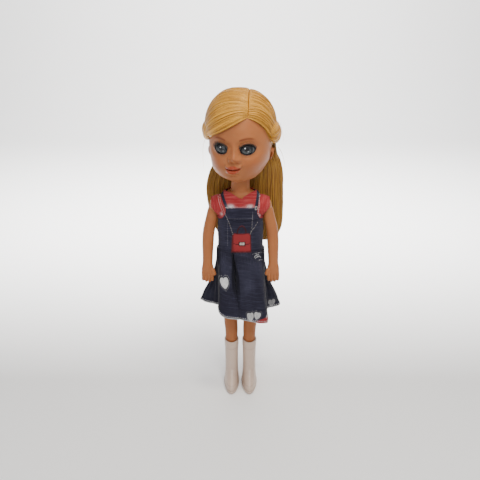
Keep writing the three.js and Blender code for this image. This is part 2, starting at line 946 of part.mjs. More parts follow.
// Angles from one to the other, meeting the torso's own edges between them.
function torsoAngles(from, to) {
  const own = spaced(0, Math.PI * 2, torsoSegments);
  const margin = Math.PI / torsoSegments / 2;
  return [from, ...own.filter((angle) => angle > from + margin && angle < to - margin), to];
}

function bodiceRises() {
  const own = torsoShares.map(([rise]) => rise);
  return [bodiceBottomShare, ...own.filter((rise) => rise > waistShare)];
}

function spaced(from, to, count) {
  return Array.from({ length: count + 1 }, (_, i) => from + ((to - from) * i) / count);
}

function sleeve(yFrom, yTo) {
  const ring = turnedAboutX(
    [
      [sleeveInnerX, sleeveRootRadius - clothThickness],
      [sleeveInnerX, sleeveRootRadius],
      [sleeveOuterX, sleeveTipRadius],
      [sleeveOuterX, sleeveTipRadius - clothThickness],
      [sleeveInnerX, sleeveRootRadius - clothThickness],
    ],
    shoulderLevel,
    torsoSegments,
  );
  const top = shoulderLevel + sleeveRootRadius * 2;
  const floor = shoulderLevel + shoulderRadius * sleeveFloorShare;
  return ring.intersect(block([0, yFrom, floor], [sleeveOuterX * 2, yTo, top]));
}

function withoutOpenings(bodice) {
  const far = torsoHalfWidth * 3;
  const armhole = turnedAboutX(
    [
      [-far, 0],
      [-far, armholeRadius],
      [-sleeveInnerX, armholeRadius],
      [-sleeveInnerX, 0],
    ],
    shoulderLevel,
    torsoSegments,
  );
  const neck = turnedAboutZ(
    [
      [0, neckBaseLevel - cutOverrun],
      [neckOpeningRadius, neckBaseLevel - cutOverrun],
      [neckOpeningRadius, neckBaseLevel + cutOverrun],
      [0, neckBaseLevel + cutOverrun],
    ],
    neckSegments,
  );
  return bodice.subtract(armhole).subtract(armhole.mirror([1, 0, 0])).subtract(neck);
}

function makeBodiceFront() {
  const step = (seam) => Math.asin(seam);
  const seamAngle = step(fitGap / chestReach);
  const angles = torsoAngles(Math.PI + seamAngle, Math.PI * 2 - seamAngle);
  const skin = torsoSkin(angles, bodiceRises(), () => fitGap, clothThickness);
  const right = sleeve(-sleeveRootRadius, -fitGap / 2);
  const neckline = frontOutline(
    necklineShares.map(([across, rise]) => [
      across * torsoHalfWidth,
      torsoBaseLevel + torsoHeight * rise,
    ]),
    -chestReach * 3,
    -fitGap,
  );
  const torso = torsoForm(fitGap);
  const sleeves = right.add(right.mirror([1, 0, 0])).subtract(torso);
  return withoutOpenings(skin).add(sleeves).subtract(neckline);
}

// Both backs lie on the torso at the side seams; the right one rises over the tapes to the middle.
const overTapes = clothThickness + 2 * tapeThickness + 3 * fitGap;

function overlapAngle(past) {
  return Math.PI / 2 + Math.asin(Math.min((past / torsoHalfWidth) ** (torsoSquareness / 2), 1));
}

function makeBodiceBackLeft() {
  const angles = torsoAngles(Math.asin(fitGap / backReach), overlapAngle(closureOverlap));
  const skin = torsoSkin(angles, bodiceRises(), () => fitGap, clothThickness);
  const shoulder = sleeve(fitGap / 2, sleeveRootRadius).subtract(torsoForm(fitGap));
  return withoutOpenings(skin).add(shoulder);
}

function makeBodiceBackRight() {
  const start = Math.PI - overlapAngle(closureOverlap);
  const angles = torsoAngles(start, Math.PI - Math.asin(fitGap / backReach));
  const middleX = torsoHalfWidth;
  const grow = (angle) => {
    const x = middleX * rounded(Math.cos(angle), torsoSquareness);
    const lift = 1 - THREE.MathUtils.smoothstep(-x, closureOverlap + overTapes / 2, middleX * 0.8);
    return fitGap + overTapes * lift;
  };
  const skin = torsoSkin(angles, bodiceRises(), grow, clothThickness);
  const shoulder = sleeve(fitGap / 2, sleeveRootRadius).subtract(torsoForm(fitGap));
  return withoutOpenings(skin).add(shoulder.mirror([1, 0, 0]));
}

function makeTape(grow) {
  const angles = torsoAngles(Math.PI - overlapAngle(tapeHalfWidth), overlapAngle(tapeHalfWidth));
  const own = torsoShares.map(([rise]) => rise);
  const rises = own.filter((rise) => rise > tapeShares[0] && rise < tapeShares[1]);
  return torsoSkin(angles, [tapeShares[0], ...rises, tapeShares[1]], () => grow, tapeThickness);
}

// Skirt
const skirtLength = 70;
const skirtRows = 5;
const skirtColumnsPerSpan = 2;
const hemHalfWidth = 45;
const hemDepth = 31;
const waistGrow = 2 * fitGap + clothThickness;
const waistBackGrow = waistGrow + overTapes;
// Waist angle in degrees from the front towards the left, then the hem point across and back
const leftHemShares = [
  [-12, 0.06, -0.72],
  [-11, 0.035, -0.97],
  [4, 0.2, -1],
  [24, 0.42, -1],
  [44, 0.59, -0.95],
  [60, 0.62, -0.72],
  [80, 0.525, -0.2],
  [92, 0.78, 0],
  [102, 1, 0.2],
  [116, 0.86, 0.5],
  [134, 0.56, 0.68],
  [154, 0.36, 1.02],
  [177.5, 0.008, 0.95],
];
const rightHemShares = [
  [-24, -0.2, -0.72],
  [-25, -0.17, -0.97],
  [-36, -0.3, -1],
  [-48, -0.46, -0.98],
  [-60, -0.55, -0.75],
  [-80, -0.525, -0.2],
  [-92, -0.78, 0],
  [-102, -1, 0.2],
  [-116, -0.86, 0.5],
  [-134, -0.56, 0.68],
  [-154, -0.36, 1.02],
  [-177.5, -0.008, 0.95],
];
const underlayShares = [
  [-30, -0.27, -0.66],
  [-18, -0.07, -0.64],
  [-6, 0.13, -0.66],
];
const flareShare = 1.15; // above 1 the skirt falls closer to the legs before it spreads

function waistPoint(degrees, grow, backGrow) {
  const angle = THREE.MathUtils.degToRad(degrees - 90);
  const turned = THREE.MathUtils.smoothstep(Math.abs(degrees), 110, 160);
  return torsoPoint(waistShare, angle, grow + (backGrow - grow) * turned);
}

function skirtSheet(hemShares, top, grow, backGrow, thickness) {
  const span = 1 / (hemShares.length - 1);
  const table = hemShares.map((row, i) => [i * span, ...row]);
  const columns = spaced(0, 1, (hemShares.length - 1) * skirtColumnsPerSpan);
  const line = columns.map((share) => rowAt(table, share));
  if (line[0][1] > line[line.length - 1][1]) line.reverse();
  const levels = spaced(1, 0, skirtRows);
  const grid = levels.map((drop) =>
    line.map(([, degrees, across, back]) => {
      const waist = waistPoint(degrees, grow + thickness, backGrow + thickness);
      const spread = drop ** flareShare;
      return new THREE.Vector3(
        waist.x + (across * hemHalfWidth - waist.x) * spread,
        waist.y + (back * hemDepth - waist.y) * spread,
        top - (top - hemLevel) * drop,
      );
    }),
  );
  return solid(thickSheet(grid, grid.map((row) => insetRow(row, thickness))));
}

const hemLevel = waistLevel - skirtLength;

// A row of points moved inwards, square to the row's own line.
function insetRow(row, distance) {
  return row.map((point, i) => {
    const along = row[Math.min(i + 1, row.length - 1)].clone().sub(row[Math.max(i - 1, 0)]);
    const inwards = new THREE.Vector3(-along.y, along.x, 0).normalize();
    return point.clone().addScaledVector(inwards, distance);
  });
}

// Assembly
const doll = new THREE.Group();
doll.name = "doll";

function place(name, shape, material, turn = 0) {
  const geometry = shape.isBufferGeometry ? shape : geometryOf(mainBody(shape));
  const mesh = new THREE.Mesh(geometry, material.clone());
  mesh.name = name;
  mesh.rotation.z = THREE.MathUtils.degToRad(turn);
  doll.add(mesh);
}

const hair = makeHair();
place("head_shell", makeHead(), materials.skin, headYaw);
place("eye_left", makeEye(1), materials.eye, headYaw);
place("eye_right", makeEye(-1), materials.eye, headYaw);
place("hair_crown", hair.crown, materials.hair, headYaw);
place("hair_fringe", hair.fringe, materials.hair, headYaw);
place("hair_gather_left", hair.gatherLeft, materials.hair, headYaw);
place("hair_gather_right", hair.gatherRight, materials.hair, headYaw);
place("back_hair", makeBackHair(), materials.hair);
place("torso_front", makeTorsoHalf(-1), materials.skin);
place("torso_back", makeTorsoHalf(1), materials.skin);
place("neck_plug", makeNeck(), materials.skin);

const arm = makeArm();
place("arm_left", arm, materials.skin);
place("arm_right", mirrored(arm), materials.skin);
const leg = makeLeg();
place("leg_left", leg, materials.skin);
place("leg_right", mirrored(leg), materials.skin);
const boot = makeBoot();
place("boot_left", boot, materials.boot);
place("boot_right", mirrored(boot), materials.boot);

place("bodice_front", makeBodiceFront(), materials.blouse);
place("bodice_back_left", makeBodiceBackLeft(), materials.blouse);
place("bodice_back_right", makeBodiceBackRight(), materials.blouse);
place("loop_tape", makeTape(2 * fitGap + clothThickness), materials.tape);
place("hook_tape", makeTape(3 * fitGap + clothThickness + tapeThickness), materials.tape);
const skirt = (shares) =>
  skirtSheet(shares, waistLevel + seamOverlap / 2, waistGrow, waistBackGrow, skirtThickness);
place("skirt_left", skirt(leftHemShares), materials.denim);
place("skirt_right", skirt(rightHemShares), materials.denim);
const underlayTop = torsoBaseLevel + torsoHeight * bodiceBottomShare - fitGap;
place(
  "pleat_underlay",
  skirtSheet(underlayShares, underlayTop, fitGap, fitGap, clothThickness),
  materials.denim,
);

export default doll;
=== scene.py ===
"""A 33 cm play doll: painted vinyl head with set-in eyes, combed blonde hair, jointed limbs,
a printed dungaree dress and pale ankle boots. It faces -Y and stands on the floor at z = 0."""

import math

import bmesh
import bpy
import numpy as np
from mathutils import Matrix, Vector


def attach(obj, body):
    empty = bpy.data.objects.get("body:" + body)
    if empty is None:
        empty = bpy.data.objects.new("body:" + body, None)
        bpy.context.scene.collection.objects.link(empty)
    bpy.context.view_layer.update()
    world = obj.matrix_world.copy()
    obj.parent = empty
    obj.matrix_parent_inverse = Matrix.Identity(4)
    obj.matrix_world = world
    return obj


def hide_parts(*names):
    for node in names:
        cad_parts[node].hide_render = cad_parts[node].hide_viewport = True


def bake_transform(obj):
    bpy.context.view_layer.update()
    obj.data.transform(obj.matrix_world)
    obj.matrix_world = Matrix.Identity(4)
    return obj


bl_info = {
    "name": "Play Doll",
    "version": (1, 0, 0),
    "blender": (4, 5, 0),
    "location": "3D View > Sidebar > Doll",
    "description": "Dresses the packed doll with skin, hair, dress and boots",
    "category": "Object",
}

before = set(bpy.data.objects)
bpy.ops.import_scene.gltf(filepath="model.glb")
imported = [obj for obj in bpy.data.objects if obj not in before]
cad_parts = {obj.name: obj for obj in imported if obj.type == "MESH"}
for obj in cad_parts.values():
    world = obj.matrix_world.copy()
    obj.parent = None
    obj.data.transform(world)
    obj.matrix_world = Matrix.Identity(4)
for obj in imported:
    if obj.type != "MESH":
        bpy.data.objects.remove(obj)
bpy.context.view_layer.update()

MM = 0.001
SIDES = ((1, "left"), (-1, "right"))
LOCK_UV_WIDTH = 6
HEAD_YAW = math.radians(-11.5)
HEAD_BASE = 242
HEAD_HEIGHT = 82
HEAD_HALF_WIDTH = 31
FACE_REACH = 33.5
SKULL_REACH = 31
NECK_RADIUS = 9.7
SHOULDER_LEVEL = 213
HIP_LEVEL = 146
WAIST_LEVEL = 167
HEM_LEVEL = 97
TORSO_BASE = 157.3
TORSO_HEIGHT = 71.7
TORSO_HALF_WIDTH = 21.8
CHEST_REACH = 13.5
BACK_REACH = 12
EYE_X = 12.9
EYE_Z = 275.6
EYE_IN = 6.1
EYE_OUT = 6
EYE_UP = 4.7
EYE_DOWN = 4.3
MOUTH_X = 0
NOSE_X = 1.1

# Rise, half width, reach to the front and to the back, as shares of the sizes above
HEAD_FORM = np.array([
    [0, 0.32, 0.5, 0.25], [0.024, 0.52, 0.66, 0.42], [0.073, 0.7, 0.79, 0.58],
    [0.122, 0.8, 0.87, 0.68], [0.183, 0.88, 0.935, 0.77], [0.268, 0.955, 0.98, 0.86],
    [0.354, 0.993, 1, 0.92], [0.463, 1, 1, 0.975], [0.585, 0.985, 1, 1],
    [0.707, 0.92, 0.955, 0.985], [0.829, 0.775, 0.83, 0.87], [0.927, 0.52, 0.59, 0.645],
    [0.976, 0.29, 0.34, 0.38], [1, 0.08, 0.1, 0.1],
])
TORSO_FORM = np.array([
    [0, 0.95, 0.93, 0.95], [0.1, 0.985, 1, 1], [0.25, 0.97, 0.97, 0.93],
    [0.42, 0.985, 1, 0.95], [0.6, 1, 1, 1], [0.78, 0.965, 0.92, 0.97],
    [0.88, 0.91, 0.86, 0.92], [0.94, 0.8, 0.8, 0.87], [0.98, 0.66, 0.75, 0.83],
    [1, 0.53, 0.72, 0.8],
])


# Numbers and curves

def smooth(x, low, high):
    """0 up to the low value, 1 from the high one on, and an even curve between."""
    t = np.clip((np.asarray(x, float) - low) / (high - low), 0, 1)
    return t * t * (3 - 2 * t)


def bell(x, middle, width):
    """1 at the middle, falling off to both sides."""
    return np.exp(-(((np.asarray(x, float) - middle) / width) ** 2))


def along_table(table, at):
    """Every column of a table at the given first-column values, on a smooth monotone curve."""
    table = np.asarray(table, float)
    x, y = table[:, 0], table[:, 1:]
    step = np.diff(x)[:, None]
    rate = np.diff(y, axis=0) / step
    slope = np.zeros_like(y)
    slope[0], slope[-1] = rate[0], rate[-1]
    same = rate[:-1] * rate[1:] > 0
    total = np.where(same, rate[:-1] + rate[1:], 1)
    slope[1:-1] = np.where(same, 2 * rate[:-1] * rate[1:] / total, 0)
    at = np.clip(np.asarray(at, float), x[0], x[-1])
    i = np.clip(np.searchsorted(x, at, side="right") - 1, 0, len(x) - 2)
    h = (x[i + 1] - x[i])[..., None]
    t = (at - x[i])[..., None] / h
    return (y[i] * (2 * t**3 - 3 * t**2 + 1) + slope[i] * h * (t**3 - 2 * t**2 + t)
            + y[i + 1] * (3 * t**2 - 2 * t**3) + slope[i + 1] * h * (t**3 - t**2))


def between(rows, count):
    """Smooth copies in between a stack of rows, evenly in their order."""
    rows = np.asarray(rows, float)
    ends = np.concatenate([[2 * rows[0] - rows[1]], rows, [2 * rows[-1] - rows[-2]]])
    t = np.linspace(0, len(rows) - 1, count)
    i = np.minimum(t.astype(int), len(rows) - 2)
    f = (t - i).reshape(-1, *[1] * (rows.ndim - 1))
    a, b, c, d = ends[i], ends[i + 1], ends[i + 2], ends[i + 3]
    return 0.5 * (2 * b + (c - a) * f + (2 * a - 5 * b + 4 * c - d) * f**2
                  + (3 * b - a - 3 * c + d) * f**3)


def through(points, count):
    """Evenly spread points on a smooth curve through the given ones."""
    fine = between(points, max(count * 6, 60))
    run = lengths(fine)
    even = np.linspace(0, run[-1], count)
    return np.stack([np.interp(even, run, fine[:, k]) for k in range(fine.shape[1])], axis=1)


def turned(points, angle):
    """Points turned about the vertical axis."""
    c, s = math.cos(angle), math.sin(angle)
    p = np.asarray(points, float)
    return xyz(p[..., 0] * c - p[..., 1] * s, p[..., 0] * s + p[..., 1] * c, p[..., 2])


def full_turn(count):
    """Angles evenly round a circle."""
    return np.linspace(0, 2 * math.pi, count, endpoint=False)


def xyz(x, y, z):
    """Points from three coordinates, some of which may be single numbers."""
    return np.stack(np.broadcast_arrays(x, y, z), -1)


def unit(v):
    v = np.asarray(v, float)
    return v / np.maximum(np.linalg.norm(v, axis=-1, keepdims=True), 1e-9)


# Meshes

def placed_mesh(name, mesh):
    """A smooth-shaded object of that name in the scene, with its mesh named alike."""
    mesh.name = name
    mesh.shade_smooth()
    piece = bpy.data.objects.new(name, mesh)
    bpy.context.scene.collection.objects.link(piece)
    return piece


def evaluated_mesh(source):
    """The plain mesh that an object's modifiers make of it; the object is then removed."""
    bpy.context.view_layer.update()
    graph = bpy.context.evaluated_depsgraph_get()
    made = bpy.data.meshes.new_from_object(source.evaluated_get(graph))
    source.modifiers.clear()
    bpy.data.objects.remove(source)
    return made


def make_mesh(name, points, faces, material, uv=None, marks=None):
    """A mesh object at the origin from points in millimetres, with its UV map and point marks."""
    mesh = bpy.data.meshes.new(name)
    mesh.from_pydata((np.asarray(points, float) * MM).tolist(), [], faces)
    if uv is not None:
        layer = mesh.uv_layers.new(name="UVMap")
        corner = np.zeros(len(mesh.loops), np.int32)
        mesh.loops.foreach_get("vertex_index", corner)
        layer.data.foreach_set("uv", np.asarray(uv, np.float32)[corner].ravel())
    for mark, values in (marks or {}).items():
        attribute = mesh.attributes.new(mark, "FLOAT", "POINT")
        attribute.data.foreach_set("value", np.asarray(values, np.float32).ravel())
    mesh.materials.append(material)
    mesh.update()
    return placed_mesh(name, mesh)


def grid_faces(rows, columns, closed=False):
    """Faces over a grid of points; with closed, its last column meets the first."""
    r, c = np.meshgrid(np.arange(rows - 1), np.arange(columns if closed else columns - 1),
                       indexing="ij")
    a = r * columns + c
    b = r * columns + (c + 1) % columns
    return np.stack([a, b, b + columns, a + columns], -1).reshape(-1, 4).tolist()


def face_out(piece):
    """Doubles merged and every face turned to point out of the closed form."""
    work = bmesh.new()
    work.from_mesh(piece.data)
    bmesh.ops.remove_doubles(work, verts=work.verts, dist=1e-7)
    bmesh.ops.recalc_face_normals(work, faces=work.faces)
    if work.calc_volume(signed=True) < 0:
        bmesh.ops.reverse_faces(work, faces=work.faces)
    work.to_mesh(piece.data)
    work.free()
    return piece


def capped(rings):
    """Points and faces of a closed form over rings, each end closed by a fan round its middle."""
    rows, columns = rings.shape[:2]
    points = np.vstack([rings.reshape(-1, 3), rings[0].mean(0), rings[-1].mean(0)])
    faces = grid_faces(rows, columns, closed=True)
    first, end = rows * columns, (rows - 1) * columns
    faces += [[first, (i + 1) % columns, i] for i in range(columns)]
    faces += [[first + 1, end + i, end + (i + 1) % columns] for i in range(columns)]
    return points, faces


def lathe_rings(name, rings, material, marks=None):
    """A skin over rings of points, upwards and counterclockwise from above, closed at both ends."""
    marks = {k: np.append(np.asarray(v).ravel(), [0, 0]) for k, v in (marks or {}).items()}
    return make_mesh(name, *capped(np.asarray(rings, float)), material, marks=marks)


def shell_between(name, outer, inner, material, uv, marks=None):
    """A closed shell between two grids of one size, with the same UV map on both sides."""
    rows, columns = outer.shape[:2]
    count = rows * columns
    points = np.vstack([outer.reshape(-1, 3), inner.reshape(-1, 3)])
    front = grid_faces(rows, columns)
    faces = front + [[v + count for v in reversed(f)] for f in front]
    place = np.arange(count).reshape(rows, columns)
    rim = np.concatenate([place[0, :-1], place[:-1, -1], place[-1, :0:-1], place[:0:-1, 0]])
    faces += [[b, a, a + count, b + count] for a, b in zip(rim.tolist(), np.roll(rim, -1).tolist())]
    both = {k: np.tile(np.asarray(v, float).ravel(), 2) for k, v in (marks or {}).items()}
    flat = np.tile(np.asarray(uv, float).reshape(-1, 2), (2, 1))
    return make_mesh(name, points, faces, material, uv=flat, marks=both)


def normals(grid):
    """Which way a grid faces, with its columns run to the right and its rows upwards."""
    return unit(np.cross(np.gradient(grid, axis=1), np.gradient(grid, axis=0)))


def cloth_uv(grid):
    """Millimetres along and up the cloth from its middle column and its bottom row."""
    along = lengths(grid, 1)
    along -= along[:, [along.shape[1] // 2]]
    return np.stack([along, lengths(grid)], -1)


def cloth_sheet(name, outer, thickness, material, marks=None):
    """A sheet whose right side is the outer grid, with its wrong side one thickness in."""
    inner = outer - normals(outer) * thickness
    return face_out(shell_between(name, outer, inner, material, cloth_uv(outer), marks))


def grid_area(grid):
    a = grid[1:, :-1] - grid[:-1, :-1]
    b = grid[:-1, 1:] - grid[:-1, :-1]
    return float(np.linalg.norm(np.cross(a, b), axis=-1).sum() * MM * MM)


def lengths(points, axis=0):
    """Millimetres along a line of points, or along every line of a grid, from 0 at its start."""
    steps = np.linalg.norm(np.diff(points, axis=axis), axis=-1)
    ends = [(0, 0)] * steps.ndim
    ends[axis] = (1, 0)
    return np.pad(np.cumsum(steps, axis=axis), ends)


def tube(path, radii, sides, flat=1, facing=None):
    """Points and faces of a closed tapering tube along a path. With facing, the section is wide
    across it and flat times as deep along it."""
    forward = unit(np.gradient(path, axis=0))
    if facing is None:
        facing = np.tile([0, 0, 1], (len(path), 1))
        facing[np.abs(forward[:, 2]) > 0.9] = [0, 1, 0]
    side = unit(np.cross(forward, facing))
    depth = unit(np.cross(forward, side))
    turn = full_turn(sides)
    ring = (np.cos(turn)[None, :, None] * side[:, None]
            + np.sin(turn)[None, :, None] * depth[:, None] * flat)
    return capped(path[:, None] + ring * np.asarray(radii, float)[:, None, None])


class Bundle:
    """Many closed forms gathered into one mesh, with a UV map along and across each."""

    def __init__(self):
        self.points, self.faces, self.uv, self.count = [], [], [], 0

    def add(self, points, faces, uv=None):
        self.points.append(points)
        self.faces += [[v + self.count for v in f] for f in faces]
        self.uv.append(np.zeros((len(points), 2)) if uv is None else uv)
        self.count += len(points)

    def add_lock(self, path, radii, sides, flat, facing, seed):
        points, faces = tube(path, radii, sides, flat, facing)
        run = lengths(path)
        across = (np.arange(sides) / sides)[None, :] * LOCK_UV_WIDTH + seed
        uv = np.stack(np.broadcast_arrays(across, run[:, None]), -1).reshape(-1, 2)
        uv = np.vstack([uv, [seed, run[0]], [seed, run[-1]]])
        self.add(points, faces, uv)

    def piece(self, name, material):
        return make_mesh(name, np.vstack(self.points), self.faces, material,
                         uv=np.vstack(self.uv))


def rides(piece, body, slot, *nodes):
    """The piece set on a body, or left unattached where body is None; the given parts are hidden."""
    if body:
        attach(piece, body)
    if nodes:
        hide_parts(*nodes)
    return piece


# Materials

class Tree:
    """A node tree built by hand with short calls."""

    def __init__(self, tree):
        self.tree = tree

    def add(self, kind, **settings):
        node = self.tree.nodes.new(kind)
        for key, value in settings.items():
            setattr(node, key, value)
        return node

    def feed(self, socket, value):
        """Link an output to a socket, or set a number, colour or place on it."""
        if hasattr(value, "is_output"):
            self.tree.links.new(value, socket)
        elif socket.type == "RGBA":
            socket.default_value = (*value[:3], 1)
        else:
            socket.default_value = value

    def put(self, node, **values):
        """Feed a node's inputs by name, with _ for each space."""
        for key, value in values.items():
            self.feed(node.inputs[key.replace("_", " ")], value)
        return node

    def sum(self, a, b, kind="ADD"):
        node = self.add("ShaderNodeMath", operation=kind)
        self.feed(node.inputs[0], a)
        self.feed(node.inputs[1], b)
        return node.outputs[0]

    def times(self, a, b):
        return self.sum(a, b, "MULTIPLY")


class GeometryTree(Tree):
    """A Geometry Nodes tree with named inputs, which paints what it made and hands it out."""

    def __init__(self, name, **inputs):
        super().__init__(bpy.data.node_groups.new(name, "GeometryNodeTree"))
        new_socket = self.tree.interface.new_socket
        for key, kind in {"Geometry": "Geometry", **inputs, "Material": "Material"}.items():
            new_socket(key.replace("_", " "), in_out="INPUT", socket_type="NodeSocket" + kind)
        new_socket("Geometry", in_out="OUTPUT", socket_type="NodeSocketGeometry")
        self.given = self.add("NodeGroupInput").outputs

    def node(self, kind, settings=None, **values):
        """The outputs of a new node, with its settings and what feeds it."""
        return self.put(self.add(kind, **(settings or {})), **values).outputs

    def close(self, instances):
        real = self.node("GeometryNodeRealizeInstances", Geometry=instances)
        paint = self.node("GeometryNodeSetMaterial", Geometry=real[0], Material=self.given["Material"])
        self.put(self.add("NodeGroupOutput"), Geometry=paint[0])
        return self.tree


class Nodes(Tree):
    """A material with a Principled shader and what feeds it."""

    def __init__(self, name):
        self.material = bpy.data.materials.get(name) or bpy.data.materials.new(name)
        self.material.use_nodes = True
        super().__init__(self.material.node_tree)
        self.tree.nodes.clear()
        self.shader = self.add("ShaderNodeBsdfPrincipled")
        self.put(self.add("ShaderNodeOutputMaterial"), Surface=self.shader.outputs[0])

    def where(self, kind="Object"):
        return self.add("ShaderNodeTexCoord").outputs[kind]

    def stretched(self, source, scale):
        return self.put(self.add("ShaderNodeMapping"), Vector=source, Scale=scale).outputs[0]

    def noise(self, source, scale, detail=4, roughness=0.55):
        node = self.add("ShaderNodeTexNoise")
        return self.put(node, Vector=source, Scale=scale, Detail=detail, Roughness=roughness).outputs[0]

    def mark(self, name):
        return self.add("ShaderNodeAttribute", attribute_name=name).outputs["Fac"]

    def span(self, value, low, high, to_low=0, to_high=1):
        node = self.add("ShaderNodeMapRange")
        self.put(node, Value=value, From_Min=low, From_Max=high, To_Min=to_low, To_Max=to_high)
        return node.outputs[0]

    def blend(self, share, a, b):
        node = self.add("ShaderNodeMix", data_type="RGBA")
        for i, value in ((0, share), (6, a), (7, b)):
            self.feed(node.inputs[i], value)
        return node.outputs[2]

    def painted(self, color, **paints):
        """The colour under layers of paint, each where the mark of its name is."""
        for mark, paint in paints.items():
            color = self.blend(self.mark(mark), color, paint)
        return color

    def bump(self, height, strength, distance):
        node = self.put(self.add("ShaderNodeBump"), Height=height, Strength=strength, Distance=distance)
        self.put(self.shader, Normal=node.outputs[0])

    def finish(self, color, roughness, **settings):
        self.put(self.shader, Base_Color=color, Roughness=roughness, **settings)
        return self.material


def vinyl_skin(settings):
    """Painted vinyl: warm, slightly see-through, with painted lips, brows, blush and eye lining, and painted
    shade on the upper lip, in the nostrils, above the lids and in their creases.
    """
    n = Nodes("vinyl_skin")
    place = n.where()
    mottle = n.noise(place, 55, 3)
    color = n.blend(n.span(mottle, 0.3, 0.7), settings.skin, settings.skin_shade)
    color = n.blend(n.times(n.mark("blush"), 0.4), color, settings.blush)
    color = n.painted(color, lips=settings.lips, lip_line=settings.lip_line, brow=settings.brow,
                      liner=settings.liner)
    n.bump(n.noise(place, 900, 2), 0.12, 0.0002)
    gloss = n.span(n.noise(place, 120), 0.3, 0.7, 0.43, 0.51)
    gloss = n.sum(gloss, n.times(n.mark("lips"), 0.2), "SUBTRACT")
    return n.finish(color, gloss, Subsurface_Weight=0.12, Subsurface_Scale=0.004,
                    Specular_IOR_Level=0.18)


def eye_finish(settings):
    """Domed eye under clear lacquer: white, dark iris with paler rays low down, black pupil, painted glints,
    painted shade under the lid and round the rim, and a painted reflection in the rays of the doll's left
    eye.
    """
    n = Nodes("eye_lacquer")
    iris = n.mark("iris")
    color = n.blend(iris, settings.eye_white, settings.iris)
    color = n.blend(n.times(n.mark("rays_and_painted_glare"), iris), color, settings.iris_light_and_glare)
    color = n.painted(color, pupil=(0.004, 0.004, 0.005), lid_shade=(0.01, 0.008, 0.008),
                      glint=(0.9, 0.93, 0.95))
    return n.finish(color, 0.16, Coat_Weight=0.45, Coat_Roughness=0.03, Specular_IOR_Level=0.3)


def lash_finish():
    n = Nodes("lash_fibre")
    tone = n.span(n.noise(n.where(), 800), 0.3, 0.7, 0, 1)
    return n.finish(n.blend(tone, (0.006, 0.005, 0.005), (0.02, 0.015, 0.012)), 0.4)


def hair_finish(name, settings, dark=0):
    """Combed synthetic hair: streaks that run along each lock, with a gloss spread across them. With a dark
    share, the whole material is darkened as painted shade.
    """
    n = Nodes(name)
    lines = n.where("UV")
    fine = n.noise(n.stretched(lines, (3.2, 0.03, 1)), 1, 4, 0.65)
    streak = n.noise(n.stretched(lines, (1.05, 0.014, 1)), 1, 3, 0.6)
    broad = n.noise(n.stretched(lines, (0.3, 0.010, 1)), 1, 2)
    n.put(n.shader, Tangent=n.add("ShaderNodeTangent", direction_type="UV_MAP").outputs[0])
    color = n.blend(n.span(broad, 0.36, 0.64), settings.hair_shade, settings.hair)
    color = n.blend(n.span(streak, 0.42, 0.64, 0, 1), color, settings.hair_light)
    color = n.blend(n.span(streak, 0.49, 0.32, 0, 0.9), color, settings.hair_shade)
    color = n.blend(n.span(fine, 0.5, 0.75, 0, 0.45), color, settings.hair_light)
    # Painted shade: with a dark share the whole material is darkened, for the rooted layer under the combed
    # hair and for the long hair.
    if dark:
        color = n.blend(dark, color, settings.hair_painted_shade)
    n.bump(n.sum(n.sum(fine, streak), n.times(broad, 0.6)), 0.5, 0.0004)
    return n.finish(color, n.span(fine, 0.3, 0.7, 0.26, 0.40), Specular_IOR_Level=0.55,
                    Specular_Tint=(1, 0.64, 0.28, 1), Anisotropic=0.75)


def dress_finish(name, settings):
    """Printed knit: red or dark denim by print marks, with faint print lines, stitches and weave, and
    painted shade where the shade mark is.
    """
    n = Nodes(name)
    cloth = n.where("UV")
    place = n.where()
    weave = n.add("ShaderNodeTexWave", wave_type="BANDS", bands_direction="Y")
    n.put(weave, Vector=cloth, Scale=0.52, Distortion=0.6, Detail=2)
    weft = n.add("ShaderNodeTexWave", wave_type="BANDS", bands_direction="X")
    n.put(weft, Vector=cloth, Scale=0.62, Distortion=0.4, Detail=1)
    grain = n.noise(cloth, 1.7, 4, 0.7)
    lines = n.noise(n.stretched(cloth, (0.05, 1.15, 1)), 1, 2)
    cloud = n.noise(place, 38, 4, 0.6)
    denim = n.blend(n.span(grain, 0.36, 0.7), settings.denim_dark, settings.denim)
    denim = n.blend(n.span(cloud, 0.5, 0.8, 0, 0.55), denim, settings.denim_faded)
    denim = n.blend(n.span(lines, 0.5, 0.72, 0, 0.5), denim, settings.denim_faded)
    red = n.blend(n.span(grain, 0.35, 0.7), settings.red_dark, settings.red)
    red = n.blend(n.span(lines, 0.46, 0.72, 0, 0.6), red, settings.red_light)
    color = n.blend(n.mark("denim"), red, denim)
    color = n.blend(n.times(n.mark("faded"), 0.8), color, settings.denim_faded)
    # The shade mark paints shade in the darkest denim colour.
    color = n.painted(color, shade=settings.denim_painted_shade, bag=settings.bag, bag_edge=settings.bag_dark,
                      metal=settings.print_metal)
    speck = n.span(n.noise(place, 700, 2), 0.4, 0.55, 0.75, 1)
    color = n.blend(n.times(n.mark("white"), speck), color, settings.print_white)
    height = n.sum(n.sum(weave.outputs["Fac"], weft.outputs["Fac"]), grain)
    n.bump(height, 0.35, 0.00025)
    return n.finish(color, 0.85, Sheen_Weight=0.05, Sheen_Roughness=0.5, Specular_IOR_Level=0.15)


def boot_finish(settings):
    n = Nodes("boot_vinyl")
    place = n.where()
    scuff = n.span(n.noise(n.stretched(place, (1, 1, 2)), 90, 5, 0.7), 0.55, 0.75)
    low = n.put(n.add("ShaderNodeSeparateXYZ"), Vector=place)
    near_floor = n.span(low.outputs["Z"], 0, 0.012, 0.5, 0)
    color = n.blend(n.times(scuff, near_floor), settings.boot, settings.boot_wear_and_shade)
    # Painted shade in the grooves: the groove mark darkens the welt and cuff grooves, the toe line and the
    # back seam.
    color = n.painted(color, groove=settings.boot_wear_and_shade)
    n.bump(n.noise(place, 420, 4), 0.2, 0.0002)
    return n.finish(color, n.span(scuff, 0, 1, 0.36, 0.55), Coat_Weight=0.15, Coat_Roughness=0.2)


